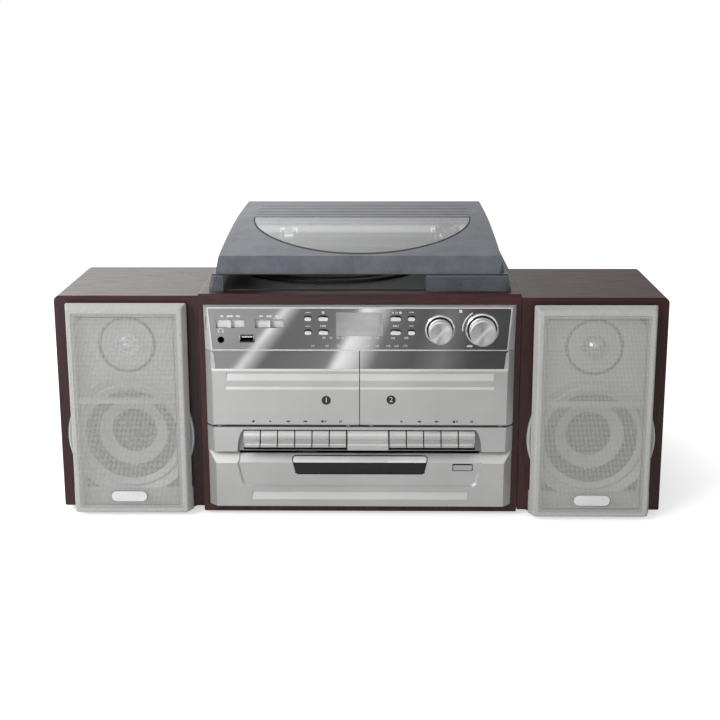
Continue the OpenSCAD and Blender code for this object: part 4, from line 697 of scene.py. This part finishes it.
def door_part(middle, normal):
    """The strip is a mirror and the holder is black; the gaps round the doors are painted black as
    shade.
    """
    x, y, z = in_case(middle)
    if STRIP_Y[0] < y < STRIP_Y[1] and z > STRIP_Z:
        return 1 if abs(x) < STRIP_X else 0
    in_gap = (abs(normal.x) > 0.9 and abs(x) < 1) or (abs(normal.z) > 0.9 and z < DOOR_FOOT_Z)
    return 2 if y > HOLDER_Y or in_gap else 0


# The holder's own black, also painted on the gap faces round the doors as shade.
holder_black_and_gap_shade = moulded("holder_black_and_gap_shade", (0.020, 0.020, 0.022), 0.45)
for node in ("left_door", "right_door"):
    dress(node, silver, half_mirror, holder_black_and_gap_shade)
    paint_faces(node, door_part)

DOOR_Y = -8.5


def disc_outline(x, z, r, steps=40):
    """The outline of a disc."""
    return [(x + r * math.cos(math.tau * i / steps), z + r * math.sin(math.tau * i / steps))
            for i in range(steps)]


for body, x, z, number in (("left_door", -34.5, 124.2, "1"), ("right_door", 32.5, 124.8, "2")):
    plate(body + "_roundel", body, [disc_outline(x, z, 4.8)], DOOR_Y - INK, INK, black_ink)
    printed(body + "_number", body, [(number, x, z)], 5.4, DOOR_Y - 2 * INK, white_ink)

KEY_MARKS_Z = 101.4
left_marks = [disc_outline(-110.2, KEY_MARKS_Z, 1.3, 20), right_arrow(-92.4, KEY_MARKS_Z, 2.5),
              left_arrow(-75.2, KEY_MARKS_Z, 2.5), left_arrow(-73.4, KEY_MARKS_Z, 2.5),
              right_arrow(-56.8, KEY_MARKS_Z, 2.5), right_arrow(-55.0, KEY_MARKS_Z, 2.5),
              bar(-38.6, KEY_MARKS_Z, 2.4, 2.4), left_arrow(-35.8, KEY_MARKS_Z + 0.2, 2.3),
              bar(-20.6, KEY_MARKS_Z, 0.9, 2.5), bar(-19.2, KEY_MARKS_Z, 0.9, 2.5)]
right_marks = [right_arrow(43.6, KEY_MARKS_Z, 2.5),
               left_arrow(60.6, KEY_MARKS_Z, 2.5), left_arrow(62.4, KEY_MARKS_Z, 2.5),
               right_arrow(79.0, KEY_MARKS_Z, 2.5), right_arrow(80.8, KEY_MARKS_Z, 2.5),
               bar(97.6, KEY_MARKS_Z, 2.4, 2.4), left_arrow(100.4, KEY_MARKS_Z + 0.2, 2.3),
               bar(115.1, KEY_MARKS_Z, 0.9, 2.5), bar(116.5, KEY_MARKS_Z, 0.9, 2.5)]
for side, marks in (("left", left_marks), ("right", right_marks)):
    plate(side + "_key_marks", side + "_door", marks, DOOR_Y - INK, INK, black_ink)

# -------------------------------------------------------------- piano keys
# Eleven silver keys with a rounded top and a finger lip below it. They turn
# on two steel shafts behind the frame, in a bay that is painted black under
# them as shade; the keys' sides are painted black as shade too.

KEYS = ("record_key", "play_key_1", "rewind_key_1", "wind_key_1", "stop_key_1", "pause_key_1",
        "play_key_2", "rewind_key_2", "wind_key_2", "stop_key_2", "pause_key_2")
key_silver = silver_paint("key_silver", (0.60, 0.60, 0.595), 0.24, 0.8)
# The sides of the keys are painted black as shade in the gaps between them.
for node in KEYS:
    dress(node, key_silver, black_and_gap_shade)
    paint_faces(node, lambda middle, normal: 1 if abs(normal.x) > 0.9 else 0)

# ------------------------------------------------------------- disc player
# A black tray on runners with a silver lip along its front, in the sunk
# pane of the lower fascia, and a silver button that opens it.

tray_black = moulded("tray_black", (0.008, 0.008, 0.009), 0.30)
dress("disc_tray", tray_black, rim_silver)
# The sides of the disc button are painted black as shade in its gap.
dress("disc_button", key_silver, black_and_gap_shade)
paint_faces("disc_button", lambda middle, normal: 1 if abs(normal.y) < 0.7 else 0)


TRAY_SLOT, TRAY_SLOT_Y = (-68, 68, 44.2, 55.6), -6.56
LIP_Y, LIP_Z = -2, 55.9


def tray_part(middle, normal):
    """The lip along the front of the tray is silver."""
    x, y, z = in_case(middle)
    return 1 if y < LIP_Y and z > LIP_Z and normal.y < -0.3 else 0


paint_faces("disc_tray", tray_part)
plate("tray_slot", "disc_tray", [rectangle(*TRAY_SLOT)], TRAY_SLOT_Y, 0.05, tray_black)

# --------------------------------------------------------------- turntable
# A black deck plate with a sunk well, a belt driven platter under a ribbed
# rubber mat, and a straight silver tonearm on its turret. The speed lever
# has a red tip; the cue lever lifts the arm.

deck_plastic = moulded("deck_plastic", (0.018, 0.018, 0.019), 0.48)
dress("turntable_deck", deck_plastic)
for node in ("tonearm_base", "cue_lever"):
    dress(node, black_plastic)

dress("platter", finish("platter_paint", 0.018, 0.034, 0.38, 1600, bump=(0.2, 0.00008)))
dress("platter_mat", finish("mat_rubber", 0.014, 0.030, 0.7, 900, 3.0, bump=(0.3, 0.0001)))
arm_metal = finish("arm_metal", 0.66, 0.80, (0.30, 0.20), (900, 40, 900), metallic=1.0)
dress("tonearm", arm_metal, black_plastic)


ARM_PIVOT_Y = 262
WEIGHT_FROM, SHELL_FROM = ARM_PIVOT_Y + 18, ARM_PIVOT_Y - 158


def arm_part(middle, normal):
    """The counterweight and the head shell are black."""
    return 0 if SHELL_FROM <= in_case(middle)[1] <= WEIGHT_FROM else 1


paint_faces("tonearm", arm_part)

dress("motor_pulley", finish("turned_brass", (0.60, 0.42, 0.16), (0.74, 0.55, 0.25), 0.28,
                             (30, 30, 2400), 1.0, metallic=1.0))
dress("turntable_motor", finish("zinc_can", (0.42, 0.43, 0.44), (0.56, 0.56, 0.55), 0.42,
                                120, 3.0, metallic=1.0))

dress("speed_lever", moulded("red_plastic", (0.40, 0.020, 0.016), 0.35))

# --------------------------------------------------------------------- lid
# One vacuum formed shell of smoke tinted acrylic in two tiers. Its outer
# face is matt, but for a clear half round window over the platter. Dark
# lines of painted shade run round the window's step edge, in the grooves and
# along the step between the tiers; pale bands beside the grooves and below
# the step are painted highlights.

WINDOW_BACK, WINDOW_HALF, WINDOW_DEEP = 200 * MM + CASE_FRONT_Y, 0.1234, 0.1764
CROWN_Z, LOW_TIER_Z, BACK_WALL_Y = 0.258, 0.2565, 0.176
EDGE_FOOT_Z, EDGE_Z, EDGE_TOP_Z = 0.2542, 0.2556, 0.2570
GROOVES, GROOVE_HALF = (213, 234, 260, 286), 0.1242

smoke, tree, shader = new_material("smoke_acrylic")
coordinates = wire(tree, "ShaderNodeTexCoord")
place = coordinates.outputs["Object"]
axes = wire(tree, "ShaderNodeSeparateXYZ", {0: place})
from_back = math_node(tree, "SUBTRACT", axes.outputs["Y"], WINDOW_BACK)
along_x = math_node(tree, "DIVIDE", axes.outputs["X"], WINDOW_HALF)
along_y = math_node(tree, "DIVIDE", from_back, WINDOW_DEEP)
reach = math_node(tree, "ADD", math_node(tree, "MULTIPLY", along_x, along_x),
                  math_node(tree, "MULTIPLY", along_y, along_y))


def between(value, low, high):
    """1 where a value lies between two limits."""
    return math_node(tree, "MULTIPLY", math_node(tree, "GREATER_THAN", value, low),
                     math_node(tree, "LESS_THAN", value, high))


crown = math_node(tree, "GREATER_THAN", axes.outputs["Z"], CROWN_Z)
rim = math_node(tree, "MULTIPLY_ADD", math_node(tree, "ABSOLUTE", along_y), 0.026, 0.010)
within = math_node(tree, "MULTIPLY",
                   math_node(tree, "LESS_THAN", reach, math_node(tree, "ADD", 1.0, rim)),
                   math_node(tree, "LESS_THAN", axes.outputs["Y"], WINDOW_BACK + 0.001))
inner = math_node(tree, "MULTIPLY",
                  math_node(tree, "LESS_THAN", reach, math_node(tree, "SUBTRACT", 1.0, rim)),
                  math_node(tree, "LESS_THAN", axes.outputs["Y"], WINDOW_BACK - 0.003))
window = math_node(tree, "MULTIPLY", inner, crown)
# Painted shade: dark lines round the window's step edge, in each groove and along the step between
# the tiers. Painted highlight: a pale band in front of each groove and one below the step.
outline = math_node(tree, "MULTIPLY", math_node(tree, "SUBTRACT", within, inner), crown)
across = math_node(tree, "MULTIPLY", crown, between(axes.outputs["X"], -GROOVE_HALF, GROOVE_HALF))
painted_highlight = math_node(tree, "MULTIPLY", between(axes.outputs["Z"], EDGE_FOOT_Z, EDGE_Z), 0.7)
for groove in GROOVES:
    low = groove * MM + CASE_FRONT_Y
    outline = math_node(tree, "MAXIMUM", outline, math_node(
        tree, "MULTIPLY", between(axes.outputs["Y"], low - 0.0012, low + 0.0032), across))
    painted_highlight = math_node(tree, "MAXIMUM", painted_highlight, math_node(
        tree, "MULTIPLY", between(axes.outputs["Y"], low - 0.0056, low - 0.0014), across))
outline = math_node(tree, "MAXIMUM", outline, between(axes.outputs["Z"], EDGE_Z, EDGE_TOP_Z))
low_tier = math_node(tree, "LESS_THAN", axes.outputs["Z"], LOW_TIER_Z)
back_wall = math_node(tree, "GREATER_THAN", axes.outputs["Y"], BACK_WALL_Y)
fine = grain(tree, place, 1500, 2.0)
cloud = grain(tree, place, 34, 5.0, 0.7)
matt_tone = ramp(tree, cloud, (0.3, (0.085, 0.094, 0.118)), (0.7, (0.160, 0.170, 0.198)))


def by_zone(body, in_window, in_outline, kind="FLOAT"):
    """A value for the matt body, for the window and for the dark lines of painted shade."""
    first, second = (6, 7) if kind == "RGBA" else (2, 3)
    out = 2 if kind == "RGBA" else 0
    cleared = wire(tree, "ShaderNodeMix", {
        0: window, first: body, second: in_window}, data_type=kind).outputs[out]
    return wire(tree, "ShaderNodeMix", {
        0: outline, first: cleared, second: in_outline}, data_type=kind).outputs[out]


# The painted highlight's pale colour over the matt tone.
highlighted_tone = wire(tree, "ShaderNodeMix", {
    0: painted_highlight, 6: matt_tone, 7: (0.26, 0.275, 0.31, 1)}, data_type="RGBA").outputs[2]
tree.links.new(by_zone(highlighted_tone, (0.78, 0.80, 0.82, 1), (0.012, 0.013, 0.016, 1), "RGBA"),
               shader.inputs["Base Color"])
tree.links.new(by_zone(0.40, 0.02, 0.6), shader.inputs["Roughness"])
tree.links.new(window, shader.inputs["Transmission Weight"])
cover = math_node(tree, "SUBTRACT", math_node(tree, "MULTIPLY_ADD", low_tier, -0.40, 0.95),
                  math_node(tree, "MULTIPLY", back_wall, 0.22))
tree.links.new(by_zone(cover, 0.8, 1.0), shader.inputs["Alpha"])
relief(tree, shader, math_node(tree, "MULTIPLY", fine, math_node(tree, "SUBTRACT", 1.0, window)),
       0.15, 0.00008)
dress("lid", smoke)

# -------------------------------------------------- loudspeaker drive units
# A silver moulding carries both drivers: a woofer with a dark roll surround,
# a pale paper cone and a dark dust cap, and a tweeter with a small dome
# behind a bar. The woofer's ring stands out past the grille on both sides.

baffle_silver = silver_paint("baffle_silver", (0.64, 0.64, 0.66), 0.5, 0.3)
dome_silver = silver_paint("dome_silver", (0.86, 0.86, 0.88), 0.18, 0.9)
surround_rubber_and_shade = finish("surround_rubber_and_shade", 0.045, 0.085, 0.6, 700)
cone_paper = finish("cone_paper", (0.56, 0.56, 0.55), (0.68, 0.68, 0.67), 0.75, 420, 5.0,
                    bump=(0.3, 0.0002))

WOOFER_Z, TWEETER_Z = 79.5, 178.0
SPEAKERS = {"left": (-240.5, 10.0), "right": (240.5, 1.0)}
SPEAKER_FOOT = 2.0


def on_speaker(side, x, y, z):
    """A point in mm from the foot of a loudspeaker's front, in its middle."""
    middle, set_back = SPEAKERS[side]
    return at(middle + x, set_back + y, z + SPEAKER_FOOT)


def from_hub(middle, hub):
    """How far a point is from a driver's middle, in mm, seen from the front."""
    return math.hypot(middle.x - hub.x, middle.z - hub.z) / MM


DUST_CAP_R, CONE_R, BASKET_Y = 19.55, 36.4, 15
DOME_R, TWEETER_GAP_R, TWEETER_GAP_Y, GROOVE_Y = 12.5, 30.3, -4.9, -1.2


def woofer_part(side):
    """From the middle out: dust cap, cone and surround. The basket behind is plastic."""
    hub = on_speaker(side, 0, 0, WOOFER_Z)

    def choose(middle, normal):
        away = from_hub(middle, hub)
        if middle.y > hub.y + BASKET_Y * MM:
            return 3
        return 2 if away < DUST_CAP_R else 1 if away < CONE_R else 0

    return choose


def painted_groove_shade(side):
    """The moulding is painted dark as shade where it lies deep: in its groove and round the
    tweeter.
    """
    hub = on_speaker(side, 0, 0, TWEETER_Z)

    def choose(middle, normal):
        sunk = normal.y < -0.9 and middle.y > hub.y + GROOVE_Y * MM and middle.z < hub.z
        in_gap = from_hub(middle, hub) < TWEETER_GAP_R and middle.y > hub.y + TWEETER_GAP_Y * MM
        return 1 if sunk or in_gap else 0

    return choose


def tweeter_part(side):
    """The dome is brighter than the plate round it."""
    hub = on_speaker(side, 0, 0, TWEETER_Z)
    return lambda middle, normal: 1 if from_hub(middle, hub) < DOME_R else 0


for side in SPEAKERS:
    # The baffle's deep faces take the dark rubber as painted shade.
    dress(side + "_baffle", baffle_silver, surround_rubber_and_shade)
    paint_faces(side + "_baffle", painted_groove_shade(side))
    dress(side + "_tweeter", baffle_silver, dome_silver)
    paint_faces(side + "_tweeter", tweeter_part(side))
    dress(side + "_woofer", surround_rubber_and_shade, cone_paper, surround_rubber_and_shade, black_plastic)
    paint_faces(side + "_woofer", woofer_part(side))

# ----------------------------------------------------- loudspeaker grilles
# A bevelled plastic frame with one crossbar, wrapped in pale grey cloth that
# is stretched over its front, with a grey line round the opening painted as
# the shade of the frame's inner edge. Four pegs push it into the front of the
# case. A bare white badge sits at its foot.

GRILLE_HALF, GRILLE_FRONT_HALF = 62.5, 59.0
GRILLE_BACK, GRILLE_FRONT = -6.0, -20.0
GRILLE_Z0, GRILLE_Z1 = -2.6, 221.9
BORDER, CLOTH_IN, CROSSBAR = 7.0, 4.8, (117.5, 123.5)
SHADE_LINE_IN, SHADE_LINE_THIN = 1.2, 0.9
BADGE_OFF, BADGE_Z, BADGE_HALF, BADGE_R = {"left": -2, "right": 1}, 19.4, 13.2, 5.5

cloth, tree, shader = new_material("grille_cloth")
place = wire(tree, "ShaderNodeTexCoord").outputs["Object"]
THREAD = math.tau / 0.0019


def threads(tree, place, turn):
    """Waves across the cloth's face, turned by some degrees."""
    turned = wire(tree, "ShaderNodeMapping", {
        "Vector": place, "Rotation": (0, math.radians(turn), 0)})
    part = wire(tree, "ShaderNodeSeparateXYZ", {0: turned.outputs[0]})
    return math_node(tree, "SINE", math_node(tree, "MULTIPLY", part.outputs["X"], THREAD))


def crossed(tree, place):
    """Threads that cross on the slant."""
    return math_node(tree, "MULTIPLY", threads(tree, place, 45), threads(tree, place, -45))


mesh_wave = crossed(tree, place)
wander = grain(tree, place, 500, 2.0)
holes = math_node(tree, "ADD", mesh_wave, math_node(tree, "MULTIPLY_ADD", wander, 0.8, -0.4))
weave = math_node(tree, "MULTIPLY_ADD", holes, 0.5, 0.5)
yarn = ramp(tree, weave, (0.30, (0.72, 0.72, 0.70)), (0.72, (0.36, 0.36, 0.35)))
tree.links.new(yarn, shader.inputs["Base Color"])
shader.inputs["Roughness"].default_value = 0.85
shader.inputs["Sheen Weight"].default_value = 0.15
tree.links.new(wire(tree, "ShaderNodeMapRange", {
    "Value": holes, "From Min": 0.30, "From Max": -0.2, "To Min": 0.40, "To Max": 0.74,
}).outputs[0], shader.inputs["Alpha"])
relief(tree, shader, mesh_wave, 0.3, 0.0001)

wrap, tree, shader = new_material("grille_wrap")
place = wire(tree, "ShaderNodeTexCoord").outputs["Object"]
wander = grain(tree, place, 500, 2.0)
mesh_wave = crossed(tree, place)
tree.links.new(ramp(tree, wander, (0.3, (0.49, 0.49, 0.478)), (0.7, (0.58, 0.58, 0.565))),
               shader.inputs["Base Color"])
shader.inputs["Roughness"].default_value = 0.8
shader.inputs["Sheen Weight"].default_value = 0.15
relief(tree, shader, mesh_wave, 0.3, 0.0001)

badge_white = moulded("badge_white", (0.86, 0.86, 0.86), 0.25)
outline_grey = moulded("outline_grey", (0.30, 0.30, 0.295), 0.8)


def loops_to_mesh(name, loops, material):
    """A closed skin over a ring of point loops, each with the same count."""
    work = bmesh.new()
    rows = [[work.verts.new(p) for p in loop] for loop in loops]
    count = len(rows[0])
    for low, high in zip(rows, rows[1:] + rows[:1]):
        for i in range(count):
            j = (i + 1) % count
            work.faces.new((low[i], low[j], high[j], high[i]))
    bmesh.ops.recalc_face_normals(work, faces=work.faces)
    mesh = bpy.data.meshes.new(name)
    work.to_mesh(mesh)
    work.free()
    mesh.materials.append(material)
    piece = bpy.data.objects.new(name, mesh)
    stage.collection.objects.link(piece)
    return piece


def frame_loop(side, half, z0, z1, y, r, steps=5):
    """A rounded rectangle round the grille at one depth."""
    points = []
    for cx, cz, start in ((half - r, z1 - r, 0), (-half + r, z1 - r, 90),
                          (-half + r, z0 + r, 180), (half - r, z0 + r, 270)):
        for i in range(steps + 1):
            a = math.radians(start + 90 * i / steps)
            points.append(on_speaker(side, cx + r * math.cos(a), y, cz + r * math.sin(a)))
    return points


def half_disc(x, z, r, start, steps=12):
    """The round side of a half disc that starts at an angle in degrees."""
    turn = [math.radians(start + 180 * i / steps) for i in range(steps + 1)]
    return [(x + r * math.cos(a), z + r * math.sin(a)) for a in turn]


for side in SPEAKERS:
    body = side + "_grille"
    front, back = GRILLE_FRONT, GRILLE_BACK
    half = GRILLE_FRONT_HALF
    z_low, z_high = GRILLE_Z0 + 2.0, GRILLE_Z1 - 3.5
    rail = loops_to_mesh(side + "_grille_frame", [
        frame_loop(side, GRILLE_HALF, GRILLE_Z0, GRILLE_Z1, back, 2.0),
        frame_loop(side, half + 0.5, z_low - 0.3, z_high + 0.5, front + 1.4, 2.4),
        frame_loop(side, half - 0.3, z_low + 0.3, z_high - 0.3, front + 0.45, 2.4),
        frame_loop(side, half - 1.4, z_low + 1.4, z_high - 1.4, front + 0.1, 2.4),
        frame_loop(side, half - 4.6, z_low + 4.6, z_high - 4.6, front + 0.1, 2.0),
        frame_loop(side, half - 5.0, z_low + 5.0, z_high - 5.0, front + 1.2, 2.0),
        frame_loop(side, half - BORDER, z_low + BORDER, z_high - BORDER, front + 1.4, 1.6),
        frame_loop(side, half - BORDER, z_low + BORDER, z_high - BORDER, back, 1.6),
    ], wrap)
    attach(rail, body)
    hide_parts(side + "_grille")

    middle, set_back = SPEAKERS[side]
    inner = half - BORDER
    plate(side + "_grille_bar", body,
          [rectangle(middle - inner - 0.5, middle + inner + 0.5,
                     CROSSBAR[0] + SPEAKER_FOOT, CROSSBAR[1] + SPEAKER_FOOT)],
          set_back + front + 1.9, 4.0, wrap)

    wide, tall, columns, rows = 2 * half - 2 * CLOTH_IN, z_high - z_low - 2 * CLOTH_IN, 24, 44
    work = bmesh.new()
    net = []
    for row in range(rows + 1):
        net.append([work.verts.new(on_speaker(
            side, -wide / 2 + wide * column / columns, front + 0.5,
            z_low + CLOTH_IN + tall * row / rows)) for column in range(columns + 1)])
    for row in range(rows):
        for column in range(columns):
            work.faces.new((net[row][column], net[row][column + 1],
                            net[row + 1][column + 1], net[row + 1][column]))
    mesh = bpy.data.meshes.new(side + "_grille_cloth")
    work.to_mesh(mesh)
    work.free()
    mesh.materials.append(cloth)
    sheet = bpy.data.objects.new(side + "_grille_cloth", mesh)
    stage.collection.objects.link(sheet)
    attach(sheet, body)
    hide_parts(side + "_grille")

    # Painted shade: a thin grey line round the opening, where the frame's inner edge shades the
    # cloth.
    shade_line, thin = inner - SHADE_LINE_IN, SHADE_LINE_THIN
    low, high = z_low + BORDER + SHADE_LINE_IN + SPEAKER_FOOT, z_high - BORDER - SHADE_LINE_IN + SPEAKER_FOOT
    plate(side + "_grille_shade_line", body,
          [rectangle(middle - shade_line, middle + shade_line, high - thin, high),
           rectangle(middle - shade_line, middle + shade_line, low, low + thin),
           rectangle(middle - shade_line, middle - shade_line + thin, low + thin, high - thin),
           rectangle(middle + shade_line - thin, middle + shade_line, low + thin, high - thin)],
          set_back + front + 0.42, 0.06, outline_grey)
    badge_x = middle + BADGE_OFF[side]
    pill = (half_disc(badge_x - BADGE_HALF, BADGE_Z, BADGE_R, 90)
            + half_disc(badge_x + BADGE_HALF, BADGE_Z, BADGE_R, -90))
    plate(side + "_badge", body, [pill], set_back + front - 0.6, 0.9, badge_white)
    edge = [(badge_x + (x - badge_x) * 1.035, BADGE_Z + (z - BADGE_Z) * 1.09) for x, z in pill]
    plate(side + "_badge_edge", body, [edge], set_back + front - 0.2, 0.5, outline_grey)
